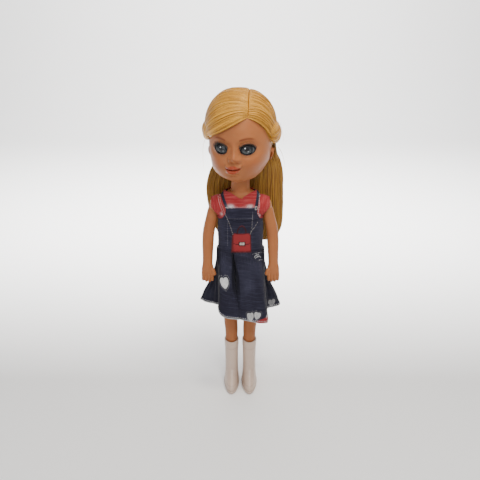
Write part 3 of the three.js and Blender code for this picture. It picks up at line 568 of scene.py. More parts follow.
def tape_finish(name, tone):
    n = Nodes(name)
    pile = n.noise(n.where(), 1500, 3, 0.8)
    n.bump(pile, 0.8, 0.0006)
    pale = tuple(min(1, c * 1.15) for c in tone)
    return n.finish(n.blend(n.span(pile, 0.35, 0.65), tone, pale), 0.9, Sheen_Weight=0.3)


def thread_finish(settings):
    n = Nodes("hem_thread")
    tone = n.span(n.noise(n.where(), 2500, 2), 0.3, 0.7)
    pale = tuple(settings.print_white)
    return n.finish(n.blend(tone, pale, tuple(c * 0.8 for c in pale)), 0.6, Sheen_Weight=0.2)


# Sizes and colours that a user would change

def color_of(default, name, text):
    return bpy.props.FloatVectorProperty(name=name, description=text, subtype="COLOR", size=3,
                                         min=0, max=1, default=default)


def length_of(default, name, text):
    return bpy.props.FloatProperty(name=name, description=text, default=default * MM,
                                   min=0, unit="LENGTH", precision=4)


class DollSkinSettings(bpy.types.PropertyGroup):
    skin: color_of((0.345, 0.124, 0.045), "Skin", "Vinyl of face, arms and legs")
    skin_shade: color_of((0.305, 0.106, 0.037), "Skin mottle", "Darker patches of the vinyl")
    blush: color_of((0.36, 0.085, 0.028), "Blush", "Paint on the cheeks")
    lips: color_of((0.33, 0.062, 0.028), "Lips", "Paint of the lips")
    # The lip line colour also paints shade on the upper lip and in the nostrils.
    lip_line: color_of((0.10, 0.018, 0.010), "Lip line", "Line between the lips")
    brow: color_of((0.15, 0.042, 0.016), "Brows", "Paint of the brows")
    # This colour also paints shade above the upper lids and in their creases.
    liner: color_of((0.012, 0.009, 0.009), "Eye liner", "Paint round the eyes")
    eye_white: color_of((0.13, 0.135, 0.14), "Eye white", "White of the eyes")
    iris: color_of((0.006, 0.008, 0.012), "Iris", "Dark ring of the eyes")
    # On the doll's left eye these rays also stand in for a painted reflection.
    iris_light_and_glare: color_of((0.085, 0.100, 0.100), "Iris rays", "Paler rays low in the iris")
    lash_length: length_of(3.3, "Lash length", "Length of the upper lashes")
    lash_count: bpy.props.IntProperty(name="Lashes", description="Upper lashes on each eye",
                                      default=34, min=4, max=60)


class DollHairSettings(bpy.types.PropertyGroup):
    hair: color_of((0.43, 0.175, 0.020), "Hair", "Main colour of the hair")
    hair_light: color_of((0.85, 0.44, 0.065), "Hair lights", "Palest fibres")
    hair_shade: color_of((0.19, 0.070, 0.011), "Hair shade", "Darker fibres")
    # Painted shade: the colour that the rooted and the long hair are darkened towards.
    hair_painted_shade: color_of((0.048, 0.026, 0.014), "Hair depth", "Hair that lies under the rest")
    lock_width: length_of(1, "Lock width", "Half width of one combed lock")
    lock_depth: bpy.props.FloatProperty(name="Lock depth", default=0.34, min=0.1, max=1,
                                        description="Depth of a lock as a share of its width")
    combed_locks: bpy.props.IntProperty(name="Combed locks", default=60, min=10, max=120,
                                        description="Locks on each side of the parting")
    long_locks: bpy.props.IntProperty(name="Long locks", default=170, min=30, max=400,
                                      description="Locks that hang down the back")
    seed: bpy.props.IntProperty(name="Seed", default=7, description="Arrangement of the locks")


class DollDressSettings(bpy.types.PropertyGroup):
    red: color_of((0.34, 0.028, 0.030), "Red", "Red of the top")
    red_dark: color_of((0.21, 0.014, 0.017), "Red shade", "Darker red of the print")
    red_light: color_of((0.48, 0.105, 0.100), "Red lines", "Paler print lines of the top")
    denim: color_of((0.020, 0.018, 0.033), "Denim", "Main colour of the dungaree print")
    denim_dark: color_of((0.008, 0.008, 0.018), "Denim shade", "Darker threads")
    denim_faded: color_of((0.050, 0.051, 0.086), "Denim wear", "Paler worn places")
    # Painted shade: the colour of the shade mark, in folds, in the skirt's opening and wings, and in the
    # pleat.
    denim_painted_shade: color_of((0.003, 0.003, 0.007), "Denim depth", "Inside the folds")
    bag: color_of((0.22, 0.022, 0.024), "Bag", "Red of the printed bag")
    bag_dark: color_of((0.030, 0.006, 0.008), "Bag edge", "Edges of the printed bag")
    print_metal: color_of((0.48, 0.44, 0.39), "Printed metal", "Buckles, clasp and chain")
    print_white: color_of((0.72, 0.72, 0.72), "Printed white", "Hearts and stitches")
    cloth_thickness: length_of(0.9, "Cloth", "Thickness of the dress cloth")
    stitch_length: length_of(2.2, "Stitch length", "Length of one hem stitch")


class DollBootSettings(bpy.types.PropertyGroup):
    boot: color_of((0.50, 0.375, 0.30), "Boots", "Pale vinyl of the boots")
    # This colour paints the scuffs and also shade in the grooves.
    boot_wear_and_shade: color_of((0.32, 0.235, 0.185), "Boot wear", "Scuffs and grooves")


class DollStageSettings(bpy.types.PropertyGroup):
    floor: color_of((0.93, 0.925, 0.92), "Floor", "Colour of the floor")
    key_power: bpy.props.FloatProperty(name="Key light", default=7.6, min=0, unit="POWER",
                                       description="Power of the main soft light")


# Head

HEAD_MIDDLE = np.array([0, 0, 283])
LENS_RINGS = 44


def head_section(rise, grow=0):
    """Half width and reach to the front and the back of the head at shares of its height."""
    w, f, b = np.moveaxis(along_table(HEAD_FORM, rise), -1, 0)
    return HEAD_HALF_WIDTH * w + grow, FACE_REACH * f + grow, SKULL_REACH * b + grow


def head_radius(directions, grow=0):
    """How far the head reaches from its middle along unit directions, swollen by grow."""
    low = np.full(directions.shape[:-1], 5.0)
    high = np.full(directions.shape[:-1], 75.0)
    for _ in range(26):
        mid = (low + high) / 2
        p = HEAD_MIDDLE + directions * mid[..., None]
        rise = (p[..., 2] - HEAD_BASE) / (HEAD_HEIGHT + grow)
        w, f, b = head_section(np.clip(rise, 0, 1), grow)
        reach = np.where(p[..., 1] < 0, f, b)
        outside = (p[..., 0] / w) ** 2 + (p[..., 1] / reach) ** 2 > 1
        outside |= (rise > 1) | (p[..., 2] < HEAD_BASE - grow)
        high = np.where(outside, mid, high)
        low = np.where(outside, low, mid)
    return low


def face_relief(x, z, front):
    """How far the face stands out at a place, in millimetres; front is 1 on the face and 0 behind."""
    side = np.abs(x)
    beside = np.abs(x - NOSE_X)
    nose = (5.95 * bell(beside, 0, 3.3) * bell(z, 267.7, 3.5)
            + 2.5 * bell(beside, 4.4, 2.1) * bell(z, 266.4, 2.5)
            + 1.9 * bell(x, 0.5 * NOSE_X, 2.7) * bell(z, 273.5, 5)
            - 0.5 * bell(beside, 7.6, 1.6) * bell(z, 266.5, 3))
    cheeks = 1.7 * bell(side, 16.5, 8) * bell(z, 261, 7.5)
    muzzle = 1.7 * bell(x, 0, 8.5) * bell(z, 257.5, 5.5)
    mouth, off = mouth_line(x), np.abs(x - MOUTH_X)
    inside = smooth(8.2 - off, 0, 2.4)
    upper = 2 * inside * bell(z, mouth + 2.5 - 0.4 * bell(off, 0, 1.2), 1.9)
    lower = 2.4 * inside * bell(z, mouth - 2.5, 1.8) * smooth(7.2 - off, 0, 3.5)
    parting = -1.5 * inside * bell(z, mouth, 0.5)
    groove = -0.5 * bell(off, 0, 1.3) * bell(z, 263, 1.4)
    corners = -0.7 * bell(off, 8.4, 1.5) * bell(z, mouth + 0.3, 1.7)
    below = -0.8 * bell(x, 0, 5) * bell(z, 250.3, 1.5)
    chin = 1.6 * bell(x, 0, 6.5) * bell(z, 246.6, 3.4)
    away = eye_distance(x, z)
    socket = -2.6 * smooth(1.04 - away, 0, 0.13) - 0.8 * bell(away, 1.5, 0.5)
    rim = 0.30 * bell(away, 1.12, 0.07)
    lid = 0.45 * bell(away, 1.36, 0.12) * smooth(z, EYE_Z, EYE_Z + 3)
    brow = 0.7 * bell(side, 12, 8) * bell(z, 285, 3.5)
    return front * (nose + cheeks + muzzle + upper + lower + parting + groove + corners + below
                    + chin + socket + rim + lid + brow)


def mouth_line(x):
    return 256.2 + 0.040 * np.abs(x - MOUTH_X) ** 1.75


def eye_distance(x, z):
    """1 on the rim of the nearer eye opening, which is rounder above and pulled out at the side."""
    side = np.abs(x)
    height = np.where(z > EYE_Z, EYE_UP, EYE_DOWN)
    out = np.where(side > EYE_X, EYE_OUT, EYE_IN)
    lift = 0.05 * (side - EYE_X)
    return np.hypot((side - EYE_X) / out, (z - EYE_Z - lift) / height)


def face_paint(x, z, front):
    """How strong each paint of the face is at a place."""
    side = np.abs(x)
    mouth, off = mouth_line(x), np.abs(x - MOUTH_X)
    cupid = 5.5 - 0.8 * bell(off, 0, 1.1) + 0.15 * bell(off, 2.4, 1.2) - 0.56 * off
    fuller = 4.5 - 0.072 * off**2
    inside = smooth(7.7 - off, 0, 0.9)
    lips = inside * smooth(mouth + cupid - z, 0, 0.6) * smooth(z - (mouth - fuller), 0, 0.6)
    lip_line = smooth(8 - off, 0, 2) * bell(z, mouth, 0.42 + 0.12 * bell(x, 0, 5)) * 0.8
    # Painted shade on the upper lip, carried with the lip line.
    above = smooth(mouth + 3 - z, 0, 2.5) * smooth(z - mouth, 0, 0.5)
    lip_line = np.maximum(lip_line, 0.30 * inside * above)
    along = (side - np.where(x < 0, 7.4, 4.8)) / np.where(x < 0, 13.6, 16)
    arc = 284.2 + 3 * np.sin(np.clip(along, 0, 1) * math.pi * 0.78) - 1.4 * along
    width = 0.30 + 0.45 * np.sin(np.clip(along * 1.1 + 0.06, 0, 1) * math.pi) ** 0.7
    brow = (bell(z, arc, width + 0.3) * smooth(along, 0, 0.08) * smooth(1 - along, 0, 0.3)) * 0.95
    away = eye_distance(x, z)
    upper = smooth(z - EYE_Z, -2.5, 2)
    outer = smooth(side - EYE_X, -2, 6)
    edge = 1.09 + 0.09 * upper + 0.04 * outer
    liner = smooth(edge + 0.05 - away, 0, 0.07)
    # Painted shade: a soft shadow above the upper lid and a dark line in the lid's crease, both carried in
    # the mark of the eye lining.
    shadow = 0.22 * bell(away, 1.22, 0.16) * upper
    painted_crease_shade = 0.22 * bell(away, 1.62, 0.05) * smooth(z - EYE_Z, 2, 4)
    blush = bell(side, 18.5, 8) * bell(z, 262.5, 7) * 0.75
    blush = blush + 0.35 * bell(x, NOSE_X, 3.5) * bell(z, 266.5, 3)
    # Painted shade in the nostrils, carried with the lip line.
    painted_nostril_shade = 0.45 * bell(np.abs(x - NOSE_X), 2.9, 1.1) * bell(z, 263.9, 0.7)
    return {"lips": front * lips, "lip_line": front * np.clip(lip_line + painted_nostril_shade, 0, 1),
            "brow": front * brow, "liner": front * np.clip(liner + shadow + painted_crease_shade, 0, 1),
            "blush": front * blush}


def head_angles(count):
    """Angles round the head, closest together over the face, from the doll's left, past the back."""
    t = np.linspace(0, 1, count, endpoint=False)
    return -math.pi / 2 + 2 * math.pi * (t - 0.115 * np.sin(2 * math.pi * t) * 0.98)


def build_head_skin(material):
    angles = head_angles(300)
    rises = np.concatenate([np.linspace(0, 0.62, 170), np.linspace(0.62, 1, 46)[1:]])[:, None]
    w, f, b = head_section(rises)
    c, s = np.cos(angles), np.sin(angles)
    reach = np.where(s < 0, f, b)
    x, y = w * c, reach * s
    z = HEAD_BASE + HEAD_HEIGHT * rises + 0 * x
    front = smooth(-s, 0.05, 0.45) + 0 * x
    relief = face_relief(x, z, front)
    out = unit(xyz(x / w**2, y / reach**2, 0 * x))
    push = unit(out * 0.35 + np.array([0, -0.65, 0]))
    points = xyz(x, y, z) + push * relief[..., None]
    points[..., 2] -= 0.6 * front * bell(x, 0, 6) * bell(z, 244, 3)
    points[..., 2] = np.maximum(points[..., 2], HEAD_BASE + 0.05)
    points[..., 0] -= 1.6 * smooth(264 - z, 0, 12) * smooth(z, 242.5, 247)
    paint = face_paint(x, z, front)
    rim = NECK_RADIUS + 0.35
    recess = [(0.6, 246.75), (rim, 246.75), (rim, 244.2), (rim + 0.5, 243.3)]
    inner = [xyz(r * c, r * s, level) for r, level in recess]
    rings = np.concatenate([np.stack(inner), points])
    blank = np.zeros((len(recess), len(angles)))
    marks = {k: np.concatenate([blank, v]) for k, v in paint.items()}
    piece = lathe_rings("head_skin", turned(rings, HEAD_YAW), material, marks)
    return rides(piece, "head", "skin", "head_shell")


def ear_form(side):
    """An outer ear: rim, hollow and lobe as one closed shell on the side of the head."""
    rows, columns = 26, 40
    u = np.linspace(0, 1, rows)[:, None]
    v = full_turn(columns)[None]
    outline = 1 + 0.10 * np.cos(v - 1.1) - 0.06 * np.cos(2 * v)
    r = np.sin(u * math.pi / 2) * outline
    tall, deep = 6.4 * r * np.sin(v), 4.5 * r * np.cos(v)
    hollow = -1.7 * bell(np.hypot(tall / 4.2, (deep + 0.5) / 2.6), 0, 0.75)
    rim = 1.1 * bell(r, 0.86, 0.14) * smooth(np.sin(v) + 0.75, 0, 0.7)
    stand = 3.1 * np.sqrt(np.clip(1 - np.clip(r, 0, 1) ** 6, 0, 1)) + hollow + rim
    y = 2.6 + deep + 0.4 * stand
    z = HEAD_BASE + HEAD_HEIGHT * 0.3 + 0.2 + tall
    rise = (z - HEAD_BASE) / HEAD_HEIGHT
    w, f, b = head_section(rise)
    reach = np.where(y < 0, f, b)
    x = w * np.sqrt(np.clip(1 - (y / reach) ** 2, 0, 1)) - 0.7 + stand * smooth(1.06 - r, 0, 0.12)
    rings = xyz(side * x, y, z)
    return rings[::-1] if side > 0 else rings[::-1, ::-1]


def build_ears(material):
    for side, name in SIDES:
        piece = face_out(lathe_rings("ear_" + name, turned(ear_form(side), HEAD_YAW), material))
        rides(piece, "head", "skin")


def face_depth(x, z):
    """Where the plain front of the head lies at a place, before the face is raised on it."""
    w, f, _ = head_section((z - HEAD_BASE) / HEAD_HEIGHT)
    return -f * np.sqrt(np.clip(1 - (x / w) ** 2, 0, 1))


def build_eyes(material):
    """Each eye is a thick domed lens behind its opening, painted with iris, pupil and glints."""
    share = np.concatenate([np.linspace(0.01, 1, LENS_RINGS), np.linspace(0.99, 0.01, 12)])[:, None]
    turn = full_turn(96)[None]
    for side, name in SIDES:
        across = np.where(np.cos(turn) > 0, EYE_OUT, EYE_IN) + 0.35
        up = np.where(np.sin(turn) > 0, EYE_UP, EYE_DOWN) + 0.35
        dx, dz = share * across * np.cos(turn), share * up * np.sin(turn)
        back = (np.arange(len(share)) >= LENS_RINGS)[:, None]
        z = EYE_Z + dz + 0.05 * dx
        y = face_depth(EYE_X + dx, z) + 0.15 + 1.35 * share**2 + np.where(back, 1, 0)
        y += np.where(back, 1.6 * (1 - share), 0)
        points = xyz(side * (EYE_X + dx), y, z)
        gaze_x, gaze_z = dx + 0.9, dz - 0.2
        far, bearing = np.hypot(gaze_x, gaze_z), np.arctan2(gaze_z, gaze_x)
        rays = 0.5 + 0.3 * np.sin(bearing * 17) + 0.2 * np.sin(bearing * 29 + 1)
        left = side * gaze_x
        marks = {
            "iris": smooth(5.75 - far, 0, 0.6),
            "pupil": smooth(2.2 - far, 0, 0.5),
            # Rays paler low in the iris; strong on the doll's left eye, where they also stand in for a
            # painted reflection, and weak on its right eye, which is painted darker as if in shade.
            "rays_and_painted_glare": rays * smooth(far, 1.9, 2.8) * smooth(4.6 - far, 0, 1.6)
            * (0.25 + 0.75 * smooth(-gaze_z, -2.5, 2)) * (1 if side > 0 else 0.35),
            "glint": np.maximum(0.8 * smooth(0.8 - np.hypot(left + 1.3, gaze_z - 1.6), 0, 0.35),
                                0.35 * smooth(0.6 - np.hypot(left - 1.5, gaze_z + 1.5), 0, 0.35)),
            "lid_shade": np.maximum(smooth(dz, 1, 3.6) * 0.9, smooth(share + 0 * turn, 0.86, 0.98)),
        }
        marks = {key: np.where(back, 0, value) for key, value in marks.items()}
        rings = turned(points, HEAD_YAW)
        piece = face_out(lathe_rings("eyeball_" + name, rings, material, marks))
        rides(piece, "head", "eye", "eye_" + name)


def lash_tree():
    """Tapering curved lashes set along a lid line, more swept towards the outer corner."""
    n = GeometryTree("lash_row", Length="Float", Count="Int")
    along = n.node("GeometryNodeSplineParameter")["Factor"]
    line = n.node("GeometryNodeMeshToCurve", Mesh=n.given["Geometry"])
    line = n.node("GeometryNodeResampleCurve", Curve=line[0], Count=n.given["Count"])
    fan = n.node("ShaderNodeMapRange", Value=along, To_Min=-0.55, To_Max=1.15)
    line = n.node("GeometryNodeStoreNamedAttribute", {"data_type": "FLOAT", "domain": "POINT"},
                  Geometry=line[0], Name="fan", Value=fan[0])
    lash = n.node("GeometryNodeCurvePrimitiveBezierSegment", {"mode": "OFFSET"}, Resolution=7,
                  Start=(0, 0, 0), Start_Handle=(0, -0.42, 0.06), End=(0, -0.78, 0.95),
                  End_Handle=(0, 0, -0.40))
    section = n.node("GeometryNodeCurvePrimitiveCircle", Resolution=5, Radius=1)
    taper = n.node("ShaderNodeMapRange", Value=along, To_Min=0.080, To_Max=0.030)
    lash = n.node("GeometryNodeCurveToMesh", Curve=lash[0], Profile_Curve=section[0],
                  Scale=taper[0], Fill_Caps=True)
    fan = n.node("GeometryNodeInputNamedAttribute", {"data_type": "FLOAT"}, Name="fan")
    turn = n.node("ShaderNodeCombineXYZ", Z=fan[0])
    uneven = n.put(n.add("FunctionNodeRandomValue", data_type="FLOAT"), Seed=3)
    for socket, value in zip([s for s in uneven.inputs if s.type == "VALUE"], (0.75, 1.1)):
        socket.default_value = value
    size = n.times(n.given["Length"], [s for s in uneven.outputs if s.type == "VALUE"][0])
    size = n.node("ShaderNodeCombineXYZ", X=size, Y=size, Z=size)
    lashes = n.node("GeometryNodeInstanceOnPoints", Points=line[0], Instance=lash[0],
                    Rotation=turn[0], Scale=size[0])
    return n.close(lashes[0])


def fixed_from(line, tree, name, values):
    """The plain mesh that a node tree makes along a line of points in millimetres."""
    mesh = bpy.data.meshes.new("line")
    mesh.from_pydata((line * MM).tolist(), [(i, i + 1) for i in range(len(line) - 1)], [])
    source = bpy.data.objects.new("line", mesh)
    bpy.context.scene.collection.objects.link(source)
    modifier = source.modifiers.new("nodes", "NODES")
    modifier.node_group = tree
    for item in tree.interface.items_tree:
        if item.in_out == "INPUT" and item.name in values:
            modifier[item.identifier] = values[item.name]
    return placed_mesh(name, evaluated_mesh(source))


def lid_line(lower=False):
    """The lid's edge from the inner corner to the outer one, on the head at rest, in millimetres."""
    turn = math.pi * (1 - np.linspace(0.06, 0.97, 24))
    height = -EYE_DOWN - 0.25 if lower else EYE_UP + 0.25
    x = EYE_X + np.where(np.cos(turn) > 0, EYE_OUT + 0.2, EYE_IN + 0.2) * np.cos(turn)
    z = EYE_Z + 0.05 * (x - EYE_X) + height * np.sin(turn)
    return xyz(x, face_depth(x, z) + 0.15, z)


def build_lashes(material, settings):
    tree = lash_tree()
    for side, name in SIDES:
        for lower, kind in ((False, "lashes_"), (True, "lower_lashes_")):
            values = {"Length": settings.lash_length * (0.40 if lower else 1),
                      "Count": settings.lash_count * (2 if lower else 3) // 3, "Material": material}
            piece = fixed_from(lid_line(lower), tree, kind + name, values)
            flip_and_turn(piece, side, lower)
            rides(piece, "head", "eye")


def flip_and_turn(piece, side, lower):
    """The piece's mesh taken to the given side and turned with the head; lower lashes point down."""
    mesh = piece.data
    p = np.zeros(len(mesh.vertices) * 3)
    mesh.vertices.foreach_get("co", p)
    p = p.reshape(-1, 3)
    if lower:
        lid = lid_line(True) * MM
        nearest = np.abs(p[:, None, 0] - lid[None, :, 0]).argmin(1)
        p[:, 2] = 2 * lid[nearest, 2] - p[:, 2]
    p[:, 0] *= side
    mesh.vertices.foreach_set("co", turned(p, HEAD_YAW).ravel())
    if side * (-1 if lower else 1) < 0:
        mesh.flip_normals()
    mesh.update()


# Hair

# Round the scalp where the hair is rooted, from the parting to the doll's left
HAIRLINE = [
    (12.1, -27, 304.4), (20.1, -22.8, 300.6), (25.8, -16.7, 294.1), (29.2, -11.5, 286.5),
    (30.8, -4, 279), (31, 7, 272), (28, 14, 262), (20, 20, 253),
    (0, 26, 251), (-20, 20, 253), (-28, 14, 262), (-31, 7, 272),
    (-30.8, -5, 279), (-27.5, -17, 287), (-18, -26.5, 294.5), (-6, -30.5, 299.5),
    (4, -30.5, 302.5),
]

# Guide strands from the parting, front to back: places on the head and the lift off it
LEFT_GUIDES = [
    [(12.1, -27, 304.6, 0.5), (20.1, -22.8, 300.9, 1.5), (25.9, -16.6, 294.6, 2.2),
     (29.3, -11.5, 288, 2.9), (31, -5, 284, 3.6), (31.6, 3, 282, 4.2)],
    [(11.8, -25, 308.5, 2.8), (18.5, -20.5, 306.5, 4.2), (25, -14.5, 300.5, 5),
     (29.5, -8, 293, 5), (31.5, 0, 287.5, 4.8), (31.5, 7, 285, 4.6)],
    [(10.9, -20.5, 315, 4.2), (18, -17, 313.5, 4.8), (26, -10.5, 305.5, 5.4),
     (30.8, -2.5, 296, 5.4), (31.8, 5, 289, 5), (30.5, 11, 286.5, 4.4)],
    [(9.6, -12, 320.5, 4.7), (18, -9.5, 318, 5), (27, -4, 308, 5.5), (31.5, 3, 297, 5.5),
     (31, 10.5, 290, 5), (28.5, 16, 287, 4.2)],
    [(8.2, -2, 324, 4.9), (17, 1, 319.5, 5.2), (26, 6, 309, 5.5), (30, 12, 298, 5.3),
     (27.5, 18, 290, 4.6), (23.5, 22.5, 287, 3.8)],
    [(6.8, 7, 324.5, 4.9), (15, 10, 319, 5.2), (22, 16, 309, 5.3), (24, 21, 298, 4.8),
     (20, 25.5, 290, 4), (15, 28.5, 287, 3.4)],
    [(5.4, 14, 321.5, 4.7), (9.5, 18, 316.5, 5), (13, 23.5, 307.5, 5), (12, 28, 297, 4.4),
     (8.5, 30, 290, 3.6), (5.5, 31, 287, 3)],
    [(4.2, 18, 319.2, 4.5), (2.6, 20, 316, 4.7), (1, 25, 307.5, 4.7), (-0.6, 29, 297.5, 4.1),
     (-1.2, 30.8, 290.5, 3.3), (-1.4, 31, 287.5, 2.9)],
]
RIGHT_GUIDES = [
    [(12.1, -27, 304.6, 0.5), (6.5, -31, 301.6, 2), (-1.5, -33, 296.8, 2.6),
     (-11, -31, 291.6, 2.8), (-20.5, -25.5, 287.6, 3.1), (-27.5, -17, 286, 3.6),
     (-31, -7, 286, 3.8)],
    [(11.8, -25, 308.5, 2.8), (4, -27, 309, 4.3), (-7, -27.5, 305.5, 5),
     (-17.5, -24, 299.5, 5.2), (-25.5, -17.5, 293, 5.2), (-30, -9, 289, 4.8),
     (-31.5, -1, 287.5, 4.4)],
    [(10.9, -20.5, 315, 4.2), (2, -20.5, 317.5, 5), (-10, -19, 314.5, 5.5),
     (-20.5, -15.5, 307, 5.5), (-28, -9.5, 297.5, 5.3), (-31.3, -2, 291, 4.8),
     (-31.5, 5, 288, 4.3)],
    [(9.6, -12, 320.5, 4.7), (-1, -11.5, 323, 5.3), (-13, -9, 319, 5.6), (-24, -5, 310, 5.5),
     (-30.5, 1, 299, 5.3), (-31.5, 8, 291, 4.8), (-29.5, 14, 288, 4.2)],
    [(8.2, -2, 324, 4.9), (-3, 0, 324.5, 5.3), (-15, 4, 319, 5.6), (-25, 9, 308, 5.5),
     (-29, 14, 297, 5), (-26.5, 19, 290, 4.4), (-22, 23.5, 287.5, 3.8)],
    [(6.8, 7, 324.5, 4.9), (-3, 10.5, 321, 5.3), (-13, 15, 314, 5.5), (-20.5, 20, 303, 5.2),
     (-20, 24.5, 294, 4.4), (-15, 28, 289, 3.8), (-11, 29.5, 287.5, 3.3)],
    [(5.4, 14, 321.5, 4.7), (0, 18, 317.5, 5), (-5.5, 23, 310, 5), (-8.5, 27.5, 300, 4.4),
     (-7.5, 30, 293, 3.6), (-5.5, 31, 289, 3.2), (-4, 31, 287.5, 2.9)],
    [(4.2, 18, 319.2, 4.5), (4.4, 20.2, 316, 4.6), (3.6, 24.8, 308.5, 4.6), (2.2, 28.6, 299.5, 4),
     (1.4, 30.5, 292.5, 3.3), (1.2, 31, 289, 3), (1, 31, 287.5, 2.8)],
]

# Long hair under the head: level, ends to the doll's right and left, middle and half depth
LONG_HAIR = [
    [250.4, -28.9, 42.9, 22, 7.2], [241.4, -32.8, 44.6, 22.4, 5.6],
    [225.9, -36, 45, 21.4, 3.8], [204.4, -34, 45.6, 21.2, 3], [182.9, -28, 44.6, 22.3, 2.5],
    [169.1, -21, 38, 23.7, 1.7], [166, -15.9, 33, 24, 0.8],
]
# Long hair on the head: level, how far round from the back it reaches, lift off the head, and
# how far it has passed over to the way it hangs below
HAIR_ON_HEAD = [
    [301, 96, 1.6, 0], [294, 96, 2, 0], [286, 94, 2.4, 0.02], [279, 89, 3.4, 0.10],
    [271, 84, 4.2, 0.30], [263, 80, 4.6, 0.60], [257, 76, 4.8, 0.86],
]
LEFT_TWIST = [
    (24.5, -17, 299.5, 1.8, 3), (30, -9, 295, 4.2, 6.5), (33.4, -0.5, 289.6, 5.6, 10.2),
    (32.8, 10, 286.6, 5.4, 10), (26.6, 21, 286, 4.6, 8), (16, 28.8, 286, 3.9, 6),
    (6, 32, 286, 3.4, 4.6), (0.6, 32.6, 285.5, 3, 3.6),
]
RIGHT_TWIST = [
    (-15.5, -28, 297, 1.4, 3), (-22.5, -22.8, 293.8, 3.8, 6.6),
    (-28.8, -14.2, 291, 5, 8.8), (-32.4, -3.5, 289.6, 5.2, 9),
    (-31.8, 8.5, 288, 5, 8.6), (-25.5, 20, 287.2, 4.4, 7.2),
    (-15.5, 28, 286.9, 3.8, 5.8), (-6, 32, 286, 3.4, 4.6), (-0.6, 32.6, 285.5, 3, 3.6),
]


def on_scalp(points, lift):
    """Places on the head swollen by lift, in the directions of the given points."""
    away = unit(np.asarray(points, float) - HEAD_MIDDLE)
    return HEAD_MIDDLE + away * head_radius(away, np.broadcast_to(lift, away.shape[:-1]))[..., None]


def comb_ridges(across, along, locks, strands, seed):
    """Heights of locks and of finer strands, over a grid that runs across and then along them."""
    rng = np.random.default_rng(seed)
    u = np.linspace(0, 1, across)[:, None]
    v = np.linspace(0, 1, along)[None]
    sway = sum(rng.uniform(-1, 1) * np.sin(2 * math.pi * (k * v + rng.random())) for k in (1, 2, 3))
    uneven = sum(rng.uniform(0.4, 1) * np.sin(2 * math.pi * (k * u + rng.random()))
                 for k in (3, 5, 8))
    warp = u + (0.30 * uneven + 0.12 * sway) / locks
    lock = np.abs(np.sin(math.pi * locks * warp)) * (0.6 + 0.4 * np.sin(13 * u + 2 * v))
    strand = np.abs(np.sin(math.pi * strands * (warp + 0.004 * np.sin(9 * v + 7 * u))))
    fade = 0.4 + 0.6 * smooth(v, 0, 0.08)
    return (lock - 0.5) * fade, (strand - 0.5) * fade


def combed_uv(grid, seed=0):
    """A UV map over a grid that runs across and then along the strands, in millimetres."""
    run = lengths(grid, 1)
    width = np.linalg.norm(np.diff(grid, axis=0), axis=-1).mean(1)
    across = seed + np.concatenate([[0], np.cumsum(width)])
    return np.stack([np.broadcast_to(across[:, None], run.shape), run], -1)


def combed_form(rings, seed=0):
    """Points, faces and UV map of a closed form over rings whose columns follow the strands."""
    points, faces = capped(rings)
    uv = combed_uv(np.swapaxes(rings, 0, 1), seed).swapaxes(0, 1).reshape(-1, 2)
    return points, faces, np.vstack([uv, uv[0], uv[-1]])


def sample(grid, u, v):
    """A grid's values at shares across and along it."""
    rows, columns = grid.shape[:2]
    a = np.clip(np.asarray(u, float), 0, 1) * (rows - 1)
    b = np.clip(np.asarray(v, float), 0, 1) * (columns - 1)
    i, j = np.minimum(a.astype(int), rows - 2), np.minimum(b.astype(int), columns - 2)
    s, t = (a - i)[..., None], (b - j)[..., None]
    return ((grid[i, j] * (1 - s) + grid[i + 1, j] * s) * (1 - t)
            + (grid[i, j + 1] * (1 - s) + grid[i + 1, j + 1] * s) * t)


def combed_head_grid(guides, across, along):
    """Where combed hair lies on the head and how high off it, between guide strands. The columns
    are closest at the parting, where the hair rises steeply out of its roots."""
    strands = between(np.stack([through(guide, 160) for guide in guides]), across)
    v = np.linspace(0, 1, along)[None] ** 1.5
    grid = sample(strands, *np.broadcast_arrays(np.linspace(0, 1, across)[:, None], v))
    rise = np.sqrt(np.clip(1 - (1 - np.clip(v / 0.016, 0, 1)) ** 2, 0, 1))
    lift = grid[..., 3] * (0.62 + 0.38 * rise) * (1 - 0.28 * smooth(v, 0.66, 0.98))
    return grid[..., :3], lift


def build_hair_cap(material):
    crown = unit(np.array([4.5, 13, 322]) - HEAD_MIDDLE)
    rim = through(HAIRLINE + [HAIRLINE[0]], 261)[:-1]
    rim = unit(rim - HEAD_MIDDLE)
    share = np.linspace(0.02, 1, 60)[None, :, None]
    angle = np.arccos(np.clip(rim @ crown, -1, 1))[:, None, None]
    away = (np.sin((1 - share) * angle) * crown + np.sin(share * angle) * rim[:, None]) / np.sin(angle)
    lock, strand = comb_ridges(261, 60, 60, 120, 5)
    depth = 0.25 + 2.3 * smooth(1 - share[..., 0], 0, 0.16)
    lift = depth + 0.2 * lock[:-1] * smooth(1 - share[..., 0], 0, 0.1) + 0.1 * strand[:-1]
    top = HEAD_MIDDLE + away * head_radius(away, lift)[..., None]
    low = HEAD_MIDDLE + away * head_radius(away, np.full(lift.shape, -0.6))[..., None]
    rings = np.concatenate([np.swapaxes(top, 0, 1), np.swapaxes(low, 0, 1)[::-1]])
    points, faces, uv = combed_form(turned(rings, HEAD_YAW))
    piece = make_mesh("hair_roots", points, faces, material, uv)
    return rides(face_out(piece), "head", "hair", "hair_crown")


def build_sweep(name, guides, material, seed, *nodes):
    """Hair combed away from the parting, as one shell of locks over the roots."""
    across, along = 340, 90
    places, lift = combed_head_grid(guides, across, along)
    lock, strand = comb_ridges(across, along, 38, 110, seed)
    top = on_scalp(places, lift + 0.26 * lock + 0.10 * strand)
    low = on_scalp(places, np.maximum(lift * 0.5 - 0.6, -0.4))
    top, low = turned(top, HEAD_YAW), turned(low, HEAD_YAW)
    piece = shell_between(name, top, low, material, combed_uv(top, seed))
    rides(face_out(piece), "head", "hair", *nodes)
    return top


